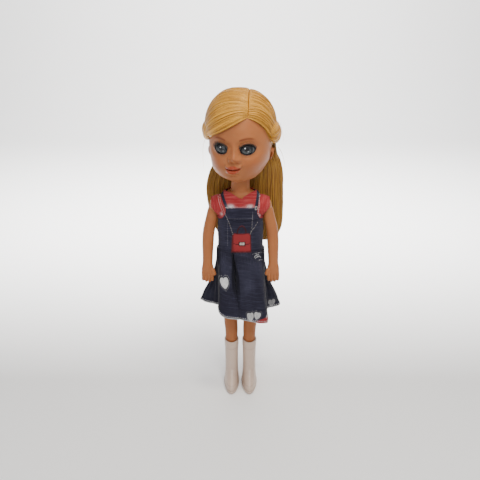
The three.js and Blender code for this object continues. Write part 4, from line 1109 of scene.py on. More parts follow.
def add_strands(bundle, surface, count, seed):
    """Fine single strands that run along a combed surface, a little off it and not quite parallel."""
    rng = np.random.default_rng(seed)
    normal = unit(surface - turned(HEAD_MIDDLE, HEAD_YAW))
    for _ in range(count):
        u0 = rng.uniform(0, 1)
        a = rng.uniform(0, 0.3)
        b = rng.uniform(a + 0.4 * (1 - a), 1)
        t = np.linspace(0, 1, 16)
        u = u0 + rng.normal(0, 0.012) * t + rng.normal(0, 0.008) * np.sin(math.pi * t)
        v = a + (b - a) * t
        off = rng.uniform(0.05, 0.45) * np.sin(math.pi * np.clip(t * 1.1, 0, 1)) ** 0.7
        path = sample(surface, u, v) + sample(normal, u, v) * (off + 0.02)[:, None]
        radii = 0.10 * rng.uniform(0.7, 1.2) * np.sin(math.pi * (0.06 + 0.9 * t)) ** 0.5
        bundle.add_lock(path, radii, 4, 0.8, sample(normal, u, v), rng.uniform(0, 60))


def build_locks(name, surface, material, count, seed, width, depth):
    """Flat tapering locks over a combed surface, so that it parts and overlaps as hair does."""
    rng = np.random.default_rng(seed)
    normal = unit(surface - turned(HEAD_MIDDLE, HEAD_YAW))
    bundle = Bundle()
    for k in range(count):
        u0 = (k + rng.uniform(0.1, 0.9)) / count
        t = np.linspace(0, 1, 26)
        v = rng.uniform(0, 0.12) + (1 - rng.uniform(0, 0.2)) * t
        u = np.clip(u0 + rng.normal(0, 0.012) * t, 0.004, 0.996)
        face = sample(normal, u, v)
        off = 0.02 + rng.uniform(-0.15, 0.2) * np.sin(math.pi * t)
        path = sample(surface, u, v) + face * off[:, None]
        size = width / MM * rng.uniform(0.5, 1.15)
        radii = size * (0.12 + 0.88 * np.sin(math.pi * (0.04 + 0.92 * t)) ** 0.6)
        bundle.add_lock(path, radii, 8, depth * rng.uniform(0.5, 0.9), face, rng.uniform(0, 60))
    add_strands(bundle, surface, count * 3, seed + 1)
    return rides(bundle.piece(name, material), "head", "hair")


def twist_grid(path, turns, seed, columns=72, steps=120):
    """A roll of hair wound round a path that lies on the head; the columns follow the strands."""
    line = through(path, steps)
    middle, deep, tall = line[:, :3], line[:, 3], line[:, 4]
    forward = unit(np.gradient(middle, axis=0))
    out = unit((middle - HEAD_MIDDLE) * (1, 1, 0))
    out = unit(out - (out * forward).sum(-1, keepdims=True) * forward)
    up = unit(np.cross(forward, out))
    up *= np.sign(up[:, 2:3])
    run = lengths(middle)
    strand = full_turn(columns)
    turn = strand[None] + (2 * math.pi * turns * run / run[-1])[:, None]
    lobes = (0.80 + 0.20 * np.abs(np.cos(strand)) ** 0.7
             + 0.05 * np.abs(np.sin(6 * strand + seed)) ** 0.6
             + 0.022 * np.abs(np.sin(17 * strand + seed)))
    away = (np.cos(turn)[..., None] * out[:, None] * deep[:, None, None]
            + np.sin(turn)[..., None] * up[:, None] * tall[:, None, None])
    return middle[:, None] + away * lobes[None, :, None], middle


def build_twist(name, path, turns, seed, material, node):
    rings, middle = twist_grid(path, turns, seed)
    rings = turned(rings, HEAD_YAW)
    rows, columns = rings.shape[:2]
    points, faces, uv = combed_form(rings, seed)
    if path[0][0] > 0:
        faces = [face[::-1] for face in faces]
    bundle = Bundle()
    bundle.add(points, faces, uv)
    rng = np.random.default_rng(seed)
    core = turned(middle, HEAD_YAW)
    for _ in range(70):
        column = rng.uniform(0, columns - 1)
        a = rng.uniform(0, 0.6)
        t = np.linspace(a, min(1, a + rng.uniform(0.2, 0.4)), 18)
        rows_at = t * (rows - 1)
        i = np.minimum(rows_at.astype(int), rows - 2)
        f = (rows_at - i)[:, None]
        c = (column + rng.normal(0, 2) * (t - a)).astype(int) % columns
        strand = rings[i, c] * (1 - f) + rings[i + 1, c] * f
        centre = core[i] * (1 - f) + core[i + 1] * f
        out = unit(strand - centre)
        share = (t - t[0]) / (t[-1] - t[0])
        lift = rng.uniform(0.05, 0.55) * np.sin(math.pi * share)
        radii = rng.uniform(0.1, 0.32) * np.sin(math.pi * (0.05 + 0.9 * share)) ** 0.5
        bundle.add_lock(strand + out * lift[:, None], radii, 5, 0.6, out, rng.uniform(0, 60))
    return rides(bundle.piece(name, material), "head", "hair", node)


def hanging_rings(u, level, right, left, middle, depth):
    """The outer and the inner line of the long hair at one level below the head."""
    s = -np.cos(math.pi * u)
    x = (right + left) / 2 + (left - right) / 2 * (0.35 * s + 0.65 * (2 * u - 1))
    round_off = np.sqrt(np.clip(1 - (2 * u - 1) ** 4, 0, 1))
    wrap = 2.2 * (2 * u - 1) ** 2 * smooth(level, 180, 250)
    return (xyz(x, middle + depth * round_off - wrap, level),
            xyz(x, middle - depth * round_off - 0.6 * wrap, level))


def long_hair_grids(across=150, along=190):
    """The outer and the inner side of the long hair, each across and then down."""
    u = np.linspace(0, 1, across)
    outer, inner = [], []
    for level, reach, lift, share in HAIR_ON_HEAD:
        turn = np.radians(reach) * (2 * u - 1)
        rise = np.array([(level - HEAD_BASE) / HEAD_HEIGHT])
        edge = smooth(1 - np.abs(2 * u - 1), 0, 0.16)
        w, f, b = (v[0] for v in head_section(rise))
        below = hanging_rings(u, level, *LONG_HAIR[0][1:])
        for rows, grow, hanging in zip((outer, inner), (lift * edge + 0.3, -0.4), below):
            back = np.where(np.cos(turn) < 0, f, b) + grow
            ring = turned(xyz((w + grow) * np.sin(turn), back * np.cos(turn), level), HEAD_YAW)
            rows.append(ring + (hanging - ring) * share)
    for row in LONG_HAIR:
        for rows, ring in zip((outer, inner), hanging_rings(u, *row)):
            rows.append(ring)
    return [np.swapaxes(between(np.stack(rows), along), 0, 1) for rows in (outer, inner)]


def build_long_hair(material, settings):
    outer, inner = long_hair_grids()
    across, along = outer.shape[:2]
    lock, strand = comb_ridges(across, along, 34, 75, settings.seed)
    out = unit(outer - inner)
    down = np.linspace(0, 1, along)
    raised = (0.34 * lock + 0.12 * strand) * smooth(down, 0.04, 0.3)
    top = outer + out * (raised - 0.35)[..., None]
    low = inner - out * (0.3 * lock[::-1] * smooth(down, 0.5, 0.7) - 0.25)[..., None]
    piece = shell_between("long_hair_core", top, low, material, combed_uv(top))
    hang(rides(face_out(piece), None, "hair", "back_hair"))
    for name, surface, facing, count, reach in (
        ("long_hair_back", top, out, settings.long_locks, (0.10, 1)),
        ("long_hair_front", low, -out, settings.long_locks * 3 // 5, (0.42, 1)),
    ):
        rng = np.random.default_rng(settings.seed + count)
        bundle = Bundle()
        for k in range(count):
            u0 = (k + rng.uniform(0.1, 0.9)) / count
            t = np.linspace(0, 1, 40)
            start = reach[0] + rng.uniform(0, 0.12) * (reach[1] - reach[0])
            stop = reach[1] - rng.uniform(0, 0.07)
            v = start + (stop - start) * t
            u = u0 + rng.normal(0, 0.02) * t + 0.008 * np.sin(7 * t + rng.uniform(0, 6))
            u = np.clip(u, 0.012, 0.988)
            face = unit(sample(facing, u, v))
            off = rng.uniform(-0.25, 0.35) * np.sin(math.pi * np.clip(t + 0.05, 0, 1))
            path = sample(surface, u, v) + face * off[:, None]
            size = settings.lock_width / MM * rng.uniform(0.45, 1)
            radii = size * np.clip(smooth(t, -0.02, 0.1) * (1 - smooth(t, 0.72, 1.02) * 0.9), 0.06, 1)
            bundle.add_lock(path, radii, 7, settings.lock_depth * 0.55, face, rng.uniform(0, 60))
        hang(rides(bundle.piece(name, material), None, "hair"))


def hang(piece):
    """The piece with its placement baked into its mesh."""
    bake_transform(piece)


def build_stray_hairs(material):
    """A few loose strands at the temples and beside the long hair."""
    bundle = Bundle()
    loose = [
        [(39, 6, 296), (41, 8, 290), (42.6, 10, 283.5), (43.4, 11, 277)],
        [(38, 10, 271), (41.5, 11, 266), (43.6, 11.5, 260), (45.3, 12, 253.5), (45.7, 12, 249)],
        [(36, 12, 266), (40.6, 13, 258), (43.6, 14, 246), (45.2, 15, 232)],
        [(-35.5, 4, 280), (-37.6, 6, 271), (-38.2, 9, 259), (-37.4, 12, 245)],
    ]
    taper = np.linspace(1, 0.5, 30)
    for k, (thick, path) in enumerate(zip((0.12, 0.19, 0.12, 0.12), loose)):
        bundle.add_lock(through(path, 30), thick * taper, 5, 1, None, 3 * k)
    return rides(bundle.piece("stray_hairs", material), "head", "hair")


def build_hair_tie(material):
    """A small clear band where the two twists meet behind the head."""
    turn, section = full_turn(48), full_turn(10)[:, None]
    grow = 0.55 * np.cos(section)
    rings = xyz(1.1 * np.sin(section), 32.6 + (3 + grow) * np.cos(turn), 285.5 + (3.7 + grow) * np.sin(turn))
    points = turned(rings, HEAD_YAW).reshape(-1, 3)
    faces = [[v % len(points) for v in face] for face in grid_faces(11, 48, closed=True)]
    piece = face_out(make_mesh("hair_tie", points, faces, material))
    return rides(piece, "head", "hair")


# Body

SHOULDER_X = 26.94
ARM_LENGTH = 76
ARM_SPREAD = 7.8
ARM_FORWARD = 9
ARM_HALF_WIDTH = 5.2
# Rise from the finger roots, then sideways, forwards, half width and half depth
ARM_FORM = [
    [0.03, 1, 1, 1.02, 0.40], [0.05, 1, 1, 1.14, 0.50], [0.09, 1, 0.95, 1.24, 0.60],
    [0.135, 1, 0.9, 1.18, 0.74], [0.19, 1, 0.78, 1.02, 0.84], [0.3, 0.97, 0.55, 1.06, 0.95],
    [0.434, 0.94, 0.35, 1.15, 1.05], [0.58, 0.86, 0.15, 1.20, 1.10],
    [0.7, 0.67, 0.06, 1.22, 1.13], [0.84, 0.35, 0, 1.20, 1.12], [0.947, 0.14, 0, 1.10, 1.12],
    [1, 0, 0, 1.02, 1.1],
]
SHOULDER_FORM = [(0, 0.02), (0, 0.6), (0.12, 0.86), (0.4, 1), (0.66, 0.95), (0.88, 0.7), (0.98, 0.36),
                 (1, 0.02)]
LEG_HALF_WIDTH = 8.8
ANKLE_X = 10
LEG_X = 14.55
# Rise to the hip axis, then inwards, half width, reach to the front and to the back
LEG_FORM = [
    [0.3, 1, 0.74, 0.74, 0.78], [0.38, 1, 0.76, 0.78, 0.82], [0.45, 1, 0.80, 0.84, 0.90],
    [0.535, 0.85, 0.85, 0.90, 0.96], [0.59, 0.80, 0.86, 0.96, 0.92], [0.64, 0.76, 0.89, 0.96, 0.91],
    [0.7, 0.65, 0.93, 0.98, 0.98], [0.8, 0.42, 0.97, 1.02, 1.02], [0.88, 0.22, 0.93, 1.05, 1.05],
    [0.932, 0, 0.71, 1.05, 1.05], [0.985, 0, 0.6, 0.86, 0.86],
]
HIP_FORM = [(0, 0.02), (0, 0.9), (0.05, 0.985), (0.12, 1), (0.68, 1), (0.92, 0.83), (0.99, 0.5), (1, 0.02)]
BOOT_HEIGHT = 56.2
# Rise, half width, reach to the front and to the back
BOOT_FORM = [
    [0, 0.93, 0.95, 0.92], [0.05, 1, 1, 1], [0.14, 0.98, 0.98, 0.97], [0.23, 0.91, 0.8, 0.89],
    [0.32, 0.88, 0.56, 0.83], [0.44, 0.87, 0.38, 0.78], [0.62, 0.88, 0.32, 0.75],
    [0.84, 0.90, 0.31, 0.74], [1, 0.92, 0.31, 0.73],
]


def rise_of(level):
    return (np.asarray(level, float) - TORSO_BASE) / TORSO_HEIGHT


def torso_point(rise, angle, grow):
    """A place on the torso at shares of its height and angles round it, a little off its skin."""
    rise, angle = np.broadcast_arrays(np.asarray(rise, float), np.asarray(angle, float))
    w, f, b = np.moveaxis(along_table(TORSO_FORM, rise), -1, 0)
    c, s = np.cos(angle), np.sin(angle)
    across = np.sign(c) * np.abs(c) ** 0.8
    along = np.sign(s) * np.abs(s) ** 0.8
    reach = np.where(s < 0, CHEST_REACH * f, BACK_REACH * b) + grow
    level = TORSO_BASE + TORSO_HEIGHT * rise + grow * smooth(rise, 0.7, 1)
    return xyz((TORSO_HALF_WIDTH * w + grow) * across, reach * along, level)


def build_neck(material):
    """The neck, flowing out over the top of the chest and the shoulders."""
    turn = full_turn(96)
    rings = []
    for level in np.concatenate([np.linspace(218, 232, 22), np.linspace(233, 246.4, 16)]):
        chest = torso_point(min(float(rise_of(level)), 1), turn, 0.22)
        chest[:, 2] = level
        waist = NECK_RADIUS - 0.35 * bell(level, 238, 6)
        neck = xyz(waist * np.cos(turn), waist * np.sin(turn), level)
        rings.append(chest + (neck - chest) * smooth(level, 225.5, 231.5))
    piece = lathe_rings("neck", np.stack(rings), material)
    return rides(face_out(piece), "torso", "skin", "neck_plug")


def level_rings(rows, columns):
    """Rings of (x, y, z, half width, reach to the front, reach to the back)."""
    turn = full_turn(columns)
    c, s = np.cos(turn), np.sin(turn)
    return np.stack([xyz(x + w * c, y + np.where(s < 0, f, b) * s, z) for x, y, z, w, f, b in rows])


def turned_form(profile, inner, width, radius, level):
    """Points and faces of a knob turned about the line through a joint, from its inner face out."""
    shape = through([(inner + width * a, radius * r) for a, r in profile], 40)
    x, far = shape[:, :1], np.maximum(shape[:, 1:], 0.1)
    turn = full_turn(64)
    return capped(xyz(x, far * np.cos(turn), level + far * np.sin(turn)))


def finger_form(points, radii):
    """A finger with rounded ends along a curve of joints."""
    path = through(points, 18)
    t = np.linspace(0, 1, 18)
    size = np.interp(t, np.linspace(0, 1, len(radii)), radii)
    size = size * np.sqrt(np.clip(1 - np.clip((t - 0.86) / 0.145, 0, 1) ** 2, 0.03, 1))
    return tube(path, size, 20)


def melted(name, parts, voxel, passes, material, side):
    """Several closed forms grown into one smooth skin, on the given side of the doll."""
    bundle = Bundle()
    for points, faces in parts:
        bundle.add(np.asarray(points) * (side, 1, 1), faces)
    source = face_out(bundle.piece("melting", material))
    grown = source.modifiers.new("grown", "REMESH")
    grown.mode = "VOXEL"
    grown.voxel_size = voxel * MM
    grown.adaptivity = 0
    soft = source.modifiers.new("soft", "SMOOTH")
    soft.factor, soft.iterations = 0.5, passes
    made = evaluated_mesh(source)
    made.materials.clear()
    made.materials.append(material)
    return placed_mesh(name, made)


def arm_parts():
    bottom = SHOULDER_LEVEL - ARM_LENGTH
    rise = np.concatenate([np.linspace(0.03, 0.2, 20), np.linspace(0.22, 1, 44)])
    form = along_table(ARM_FORM, rise)
    rows = [(SHOULDER_X + ARM_SPREAD * a, -ARM_FORWARD * f, bottom + ARM_LENGTH * r,
             ARM_HALF_WIDTH * w, ARM_HALF_WIDTH * d, ARM_HALF_WIDTH * d)
            for r, (a, f, w, d) in zip(rise, form)]
    parts = [capped(level_rings(rows, 48)),
             turned_form(SHOULDER_FORM, 22.3, 9.5, 7.7, SHOULDER_LEVEL)]
    hand_x, y = SHOULDER_X + ARM_SPREAD, -ARM_FORWARD
    for i, share in enumerate((0.8, 1, 0.95, 0.74)):
        x = hand_x + (i - 1.5) * 3.15
        fan = (i - 1.5) * 0.06
        tip = bottom - 7.5 * share
        parts.append(finger_form(
            [(x - fan, y + 0.3, bottom + 9), (x, y - 0.5, bottom + 4.2),
             (x + fan, y - 0.45, bottom - 2.4 * share), (x + fan * 1.6, y + 0.75, tip + 0.1)],
            [1.4, 1.82, 1.80, 1.66]))
    parts.append(finger_form(
        [(hand_x - 3.6, y + 0.4, bottom + 10), (hand_x - 5.6, y - 0.9, bottom + 7),
         (hand_x - 6.9, y - 1.7, bottom + 4.2), (hand_x - 7.4, y - 2, bottom + 1.4)],
        [1.9, 2.2, 2.05, 1.75]))
    return parts


def build_arms(material):
    for side, name in SIDES:
        piece = melted(name + "_arm_skin", arm_parts(), 0.30, 2, material, side)
        rides(piece, name + "_arm", "skin", "arm_" + name)


def build_legs(material):
    rise = np.linspace(0.3, 0.985, 74)
    form = along_table(LEG_FORM, rise)
    rows = [(LEG_X + (ANKLE_X - LEG_X) * i, 0, HIP_LEVEL * r, LEG_HALF_WIDTH * w,
             LEG_HALF_WIDTH * f, LEG_HALF_WIDTH * b) for r, (i, w, f, b) in zip(rise, form)]
    rings = level_rings(rows, 60)
    across, front = np.cos(full_turn(60)), np.clip(-np.sin(full_turn(60)), 0, 1) ** 2
    level = rings[..., 2]
    knee = 0.55 * bell(level, 89.5, 4.2) - 0.35 * bell(level, 83.5, 2.2) - 0.2 * bell(level, 95.5, 2.2)
    dimple = 0.35 * bell(level, 90, 3.6) * bell(np.abs(across), 0.72, 0.2) * (front > 0)
    rings[..., 1] += dimple - front * knee * bell(across, 0, 0.6)
    parts = [capped(rings), turned_form(HIP_FORM, 8.35, 12.4, 10.95, HIP_LEVEL)]
    for side, name in SIDES:
        piece = melted(name + "_leg_skin", parts, 0.6, 5, material, side)
        rides(piece, name + "_leg", "skin", "leg_" + name)


def build_boots(material):
    """Short boots of pale vinyl: a sole with a welt, a plain vamp and a turned top edge."""
    turn = full_turn(120)
    c, s = np.cos(turn), np.sin(turn)
    front = np.clip(-s, 0, 1)
    rise = np.concatenate([np.linspace(0, 0.1, 34), np.linspace(0.1, 1, 96)[1:]])[:, None]
    w, f, b = np.moveaxis(along_table(BOOT_FORM, rise), -1, 0)
    level = BOOT_HEIGHT * rise
    edge = 1.1 * (1 - np.sqrt(np.clip(1 - (1 - np.clip(level / 1.3, 0, 1)) ** 2, 0, 1)))
    welt = 0.45 * smooth(4 - level, 0, 0.5) - 0.55 * bell(level, 4.25, 0.32)
    cuff = 0.35 * smooth(level, 47.6, 48.4) - 0.35 * bell(level, 47.2, 0.4)
    out = welt - edge + cuff - 0.2
    x = (8.6 * w + out) * c
    y = np.where(s < 0, 28.5 * f + out, 13 * b + out) * s
    back_seam = bell(c, 0, 0.035) * smooth(level, 5, 8) * (s > 0)
    fold = 0.45 * bell(level, 15.5, 1.6) - 0.35 * bell(level, 18.2, 1.4) + 0.3 * bell(level, 21.4, 1.5)
    y += fold * front**3 - 0.3 * back_seam
    z = level - 1.3 * front**2 * smooth(level, 34, 54)
    toe = bell(level, 9.6, 0.45) * smooth(-y, 13, 17)
    shape = xyz(x, y, z)
    shape -= unit(xyz(x, y * 0.4, 0 * x)) * (0.28 * toe)[..., None]
    rim, top = [], shape[-1]
    for step in np.linspace(0.2, 1, 5):
        ring = top.copy()
        inward = 0.62 * (1 - math.cos(step * math.pi))
        ring[:, :2] *= 1 - inward / np.linalg.norm(top[:, :2], axis=1, keepdims=True)
        ring[:, 2] += 0.5 * math.sin(step * math.pi)
        rim.append(ring)
    rings = np.concatenate([shape, np.stack(rim + [rim[-1] - (0, 0, 7)])])
    # The groove mark paints shade along the welt and cuff grooves, the toe line and the back seam.
    groove = np.zeros(rings.shape[:2])
    groove[: len(level)] = (0.8 * bell(level, 4.25, 0.4) + 0.5 * bell(level, 47.2, 0.35)
                            + 0.5 * toe + 0.35 * back_seam)
    marks = {"groove": np.clip(groove, 0, 1)}
    for side, name in SIDES:
        placed = rings * (side, 1, 1) + (side * ANKLE_X, 0, 0)
        piece = face_out(lathe_rings(name + "_boot", placed, material, marks))
        rides(piece, name + "_leg", "boot", "boot_" + name)


# Dress

OVER_TAPES = 3.5
STITCH_HEIGHT = 2.3
STITCH_LIFT = 0.12
HEM_HALF_WIDTH = 45
HEM_DEPTH = 31
# Degrees round the waist from the front towards the doll's left, then the hem across and back,
# and how far it hangs above the general hem level
LEFT_HEM = [
    [-12, 0.03, -0.76, -0.6], [-11.5, 0.004, -0.985, -1], [4, 0.2, -1, -2.6], [24, 0.44, -1, -4.8],
    [44, 0.63, -0.95, -5.2], [60, 0.665, -0.72, -3.4], [80, 0.565, -0.2, -2.4], [92, 0.78, 0, -2.2],
    [102, 1, 0.2, -1], [116, 0.86, 0.5, -0.4], [134, 0.56, 0.68, 0], [154, 0.36, 1.02, 0],
    [179.6, 0.002, 0.95, 0],
]
RIGHT_HEM = [
    [-15.5, -0.05, -0.76, -0.6], [-16, -0.026, -0.98, -0.8], [-31, -0.28, -1, 0.4], [-46, -0.44, -0.98, 3.4],
    [-60, -0.53, -0.76, 7.6], [-80, -0.525, -0.2, 3.6], [-92, -0.78, 0, 3.4],
    [-102, -1, 0.2, 5.4], [-116, -0.86, 0.5, 2.6], [-134, -0.56, 0.68, 0], [-154, -0.36, 1.02, 0],
    [-172, -0.06, 0.955, 0], [-180.4, 0.014, 0.925, 0],
]
UNDERLAY_HEM = [[-27, -0.2, -0.86, -1.2], [-22, -0.12, -0.89, -1.6], [-17, -0.04, -0.9, -1.8],
                [-12, 0.04, -0.9, -2], [-8, 0.1, -0.88, -2.2]]
# Shade inside the skirt's opening: level, middle, half width and depth of the shade
OPENING_SHADE = [
    [108, -1, 1.5, 0], [119, -2.6, 3.2, 0.45], [130, -4.6, 4.3, 0.85], [137, -5.2, 4.3, 0.95],
    [144, -5.7, 4, 0.95], [152, -6.7, 2.6, 0.9], [158, -7.2, 1.8, 0.8], [163, -8.6, 1.2, 0.75],
    [167, -9.2, 1, 0.6],
]
# Edge of the armhole: level, then how far to the front and to the back
ARMHOLE = [
    [199, 0.5, 0.5], [200.5, 2.6, 2.4], [203, 4.6, 4.2], [207, 6.2, 5.8], [212, 6.9, 6.4],
    [216.5, 6.2, 5.8], [220, 4.6, 4.2], [222.5, 2.4, 2.2], [224.2, 0.3, 0.3],
]
BODICE_LEVEL = 164.6
SLEEVE_FORM = [[14.5, 10], [18, 10.7], [20.5, 11.5], [23.5, 11.1], [26.5, 10.2], [30, 8.75]]
BIB = [(-14.7, 213.9), (17, 213.9), (17.2, 207), (19.6, 202), (25, 199.2), (40, 198.5),
       (40, 90), (-50, 90), (-50, 199), (-24.5, 199.4), (-18.6, 202.2), (-15.6, 206.8)]
BAG = [(-6.8, 186.8), (9, 186.8), (10.5, 184.8), (11.2, 166.3), (-9.6, 166.3), (-8.4, 184.8)]
HEM_PATCH = [(16.5, 88), (32, 88), (32, 98.4), (27.5, 97.9), (22, 96), (16.5, 94.2)]
PRINT_MARKS = ("denim", "faded", "bag", "bag_edge", "metal", "white", "shade")
# Lines of the print: strength, half width, dash length and points
STRAPS = [(1, 1.6, 0, [(-20.2, 232), (-17.4, 222), (-13.7, 213)]),
          (1, 1.6, 0, [(18.6, 232), (17.4, 222), (15.7, 213)])]
BACK_STRAPS = [(1, 1.8, 0, [(-18.5, 233), (-9, 214), (-6, 203)]),
               (1, 1.8, 0, [(18.5, 233), (9, 214), (6, 203)])]
WORN_LINES = [(0.5, 0.35, 2, [(-13, 202.6), (12, 202.6)]),
              (0.4, 0.3, 2.2, [(-13.2, 209), (-13.2, 172)]),
              (0.4, 0.3, 2.2, [(12.3, 210), (12.4, 172)])]
FLAP_LINES = [(1, 0.26, 0, [(-8.6, 176.6), (-5, 174.9), (-1.4, 174.6)]),
              (1, 0.26, 0, [(4.8, 174.6), (8, 174.9), (10.8, 176.6)])]
HANDLE = [(-3.4, 186.4), (-2.8, 190.6), (-1, 193.6), (1.4, 194.6), (3.8, 193.5), (5.4, 190.4),
          (5.9, 186.4)]
CHAIN = [(1, 0.3, 1.5, [(-22.5, 230.5), (-19.9, 218.5), (-16.4, 208.4), (-12.6, 200.6),
                        (-9.9, 193), (-7.8, 186)]),
         (1, 0.3, 1.5, [(9.9, 186), (11.4, 189.2), (14.4, 193), (17.4, 198)]),
         (0.6, 0.26, 1.2, [(10.6, 187), (11.7, 197), (12.3, 206)])]
BUCKLES = [(0.8, 0.25, 0, [(-15.2, 213.4), (-12.4, 213.4)]),
           (0.8, 0.26, 0, [(14.9, 211.4), (16.9, 211.4), (16.9, 214.4), (14.9, 214.4), (14.9, 211.4)])]
LACE_LINES = [(0.5, 0.3, 1.3, [(-14, 214.5), (16, 214.5)]),
              (0.6, 0.42, 1.7, [(19.2, 226), (18.8, 214.5), (17.9, 206.5)]),
              (0.45, 0.25, 1.2, [(-24, 229.5), (-21.6, 218.5), (-18.4, 209)])]
WHITE_LINES = [
    (0.12, 0.22, 1.6, [(-13.2, 198), (-13.4, 172)]), (0.12, 0.22, 1.6, [(12.3, 209), (12.4, 190)]),
    (0.12, 0.22, 1.6, [(-13, 202.6), (12, 202.6)]),
    (0.8, 0.2, 0, [(14.4, 160.8), (15.6, 162.6), (17.6, 163.2), (19.4, 162.4)]),
    (0.8, 0.2, 0, [(15.2, 159.6), (17.2, 161), (19.8, 161.2), (21, 160)]),
    (0.8, 0.16, 1.2, [(12.6, 164.4), (17.6, 165), (22.4, 164.4)]),
    (0.8, 0.36, 1.6, [(24, 162.5), (26.2, 157), (28.2, 148), (29.2, 138), (29, 127)]),
    (0.8, 0.16, 1.3, [(17, 156.9), (21, 157.2), (24.5, 155.6)]),
]
# Soft spots of the print: strength, then middle and reach across and upwards
WORN_SPOTS = [(0.35, 21.5, 4.5, 186, 14), (0.35, -20, 4, 186, 14), (0.5, 25.5, 4.5, 143, 15),
              (0.30, 8, 8, 140, 26), (0.25, -17, 6, 150, 18)]
LACE_SPOTS = [(0.70, -9.8, 3.2, 215.3, 1.9), (0.55, 9.6, 3, 215.4, 1.7),
              (0.4, -19.4, 1.5, 206.5, 1.9), (0.4, 19.4, 1.2, 204.5, 1.6)]
FRAYED_SPOTS = [(0.45, 28.8, 1.3, 132.5, 5.5), (0.25, 27.4, 1.2, 146, 5)]
# Hearts on each side: middle, width, height, tilt, strength, and whether on the wing of the skirt
# The heart on the wing is printed faint, which stands in for painted shade there.
HEARTS = {
    -1: [(-16.6, 133.6, 8.8, 12.2, 0.2, 0.8, False)],
    1: [(10.6, 98.6, 7, 9.4, 0.12, 0.52, False), (17.6, 99.6, 6.8, 8.2, -0.25, 0.56, False),
        (34.6, 100, 8.2, 8.2, 0.05, 0.25, True)],
}


def nearest_on(x, z, points):
    """How far places are from a line of points, and how far along it the nearest place lies."""
    best, where, run = np.full(np.shape(x), 1e3), np.zeros(np.shape(x)), 0
    for (ax, az), (bx, bz) in zip(points[:-1], points[1:]):
        dx, dz = bx - ax, bz - az
        span = math.hypot(dx, dz)
        t = np.clip(((x - ax) * dx + (z - az) * dz) / max(span * span, 1e-9), 0, 1)
        away = np.hypot(x - ax - t * dx, z - az - t * dz)
        where = np.where(away < best, run + t * span, where)
        best = np.minimum(best, away)
        run += span
    return best, where


def inside_outline(x, z, outline, soft=0.35):
    """1 inside a closed outline, 0 outside, over a soft edge."""
    away, _ = nearest_on(x, z, outline + outline[:1])
    inside = np.zeros(np.shape(x), bool)
    for (ax, az), (bx, bz) in zip(outline, outline[1:] + outline[:1]):
        at = ax + (z - az) / (bz - az or 1e-9) * (bx - ax)
        inside ^= ((az > z) != (bz > z)) & (x < at)
    return smooth(np.where(inside, away, -away), -soft, soft)


def inside_box(x, z, left, right, low, high, soft):
    return inside_outline(x, z, [(left, high), (right, high), (right, low), (left, low)], soft)


def drawn_line(x, z, points, half, dash=0):
    """A printed line: 1 within half a width of it, broken into dashes where a dash length is given."""
    away, where = nearest_on(x, z, points)
    mask = smooth(half + 0.22 - away, 0, 0.44)
    if dash:
        mask = mask * smooth(np.sin(2 * math.pi * where / dash) + 0.25, 0, 0.5)
    return mask


def lines(x, z, table):
    return np.stack([strength * drawn_line(x, z, points, half, dash)
                     for strength, half, dash, points in table])


def spots(x, z, table):
    return np.stack([strength * bell(x, middle, wide) * bell(z, level, tall)
                     for strength, middle, wide, level, tall in table])


def raise_mark(marks, key, value):
    marks[key] = np.maximum(marks[key], value)


def heart(x, z, middle_x, middle_z, width, height, tilt=0):
    """A printed heart with a soft edge, and its distance share from the middle to the rim."""
    dx, dz = x - middle_x, z - middle_z
    c, s = math.cos(tilt), math.sin(tilt)
    u, v = (dx * c + dz * s) * 2.28 / width, (-dx * s + dz * c) * 2.24 / height + 0.12
    far = np.sqrt(np.maximum(u**2 + v**2 - np.cbrt(u**2 * v**3), 0))
    return smooth(1 - far, -0.06, 0.06), far


def print_marks(place, front):
    """The dungaree print by place on the doll: front is 1 on the front and 0 on the back."""
    x, z = place[..., 0], place[..., 2]
    bib = inside_outline(x, z, BIB)
    before = np.maximum(bib, lines(x, z, STRAPS).max(0))
    behind = np.maximum(smooth(203.5 - z, -0.4, 0.4), lines(x, z, BACK_STRAPS).max(0))
    worn = np.maximum(lines(x, z, WORN_LINES).max(0), spots(x, z, WORN_SPOTS).max(0))
    worn = np.maximum(worn, 0.55 * bell(z, 213.2, 0.8) * bib)
    bag = inside_outline(x, z, BAG, 0.3)
    edge = smooth(1 - nearest_on(x, z, BAG + BAG[:1])[0], 0, 0.6)
    edge = np.maximum(edge, 0.55 * bell(x, -8.2, 1.3))
    edge = np.maximum(edge, lines(x, z, FLAP_LINES).max(0))
    edge = np.maximum(edge, inside_box(x, z, -1.9, 5.1, 173, 177.6, 0.4))
    handle = drawn_line(x, z, HANDLE, 0.62) * smooth(z, 186.2, 187)
    shine = 0.7 * drawn_line(x, z, [(-0.8, 194.2), (1.4, 195.1), (3.6, 194.1)], 0.3)
    clasp = inside_box(x, z, -0.8, 4, 174, 176.6, 0.3)
    clasp = clasp * (1 - 0.8 * inside_box(x, z, 0.3, 2.9, 174.8, 175.8, 0.25))
    chain = lines(x, z, CHAIN).max(0) * (0.4 + 0.2 * smooth(z, 194, 208))
    metal = np.maximum(clasp, np.maximum(chain, lines(x, z, BUCKLES).max(0)))
    lace = spots(x, z, LACE_SPOTS).sum(0) + lines(x, z, LACE_LINES).sum(0)
    white = np.clip(lace, 0, 1) * (1 - bib * smooth(213.4 - z, 0, 0.6))
    white = np.maximum(white, lines(x, z, WHITE_LINES).max(0))
    white = np.maximum(white, spots(x, z, FRAYED_SPOTS).sum(0))
    return {"denim": front * before + (1 - front) * behind, "faded": front * worn,
            "bag": front * np.maximum(bag, shine),
            "bag_edge": front * np.maximum(edge * bag, handle), "metal": front * metal,
            "white": front * white, "shade": 0 * x}


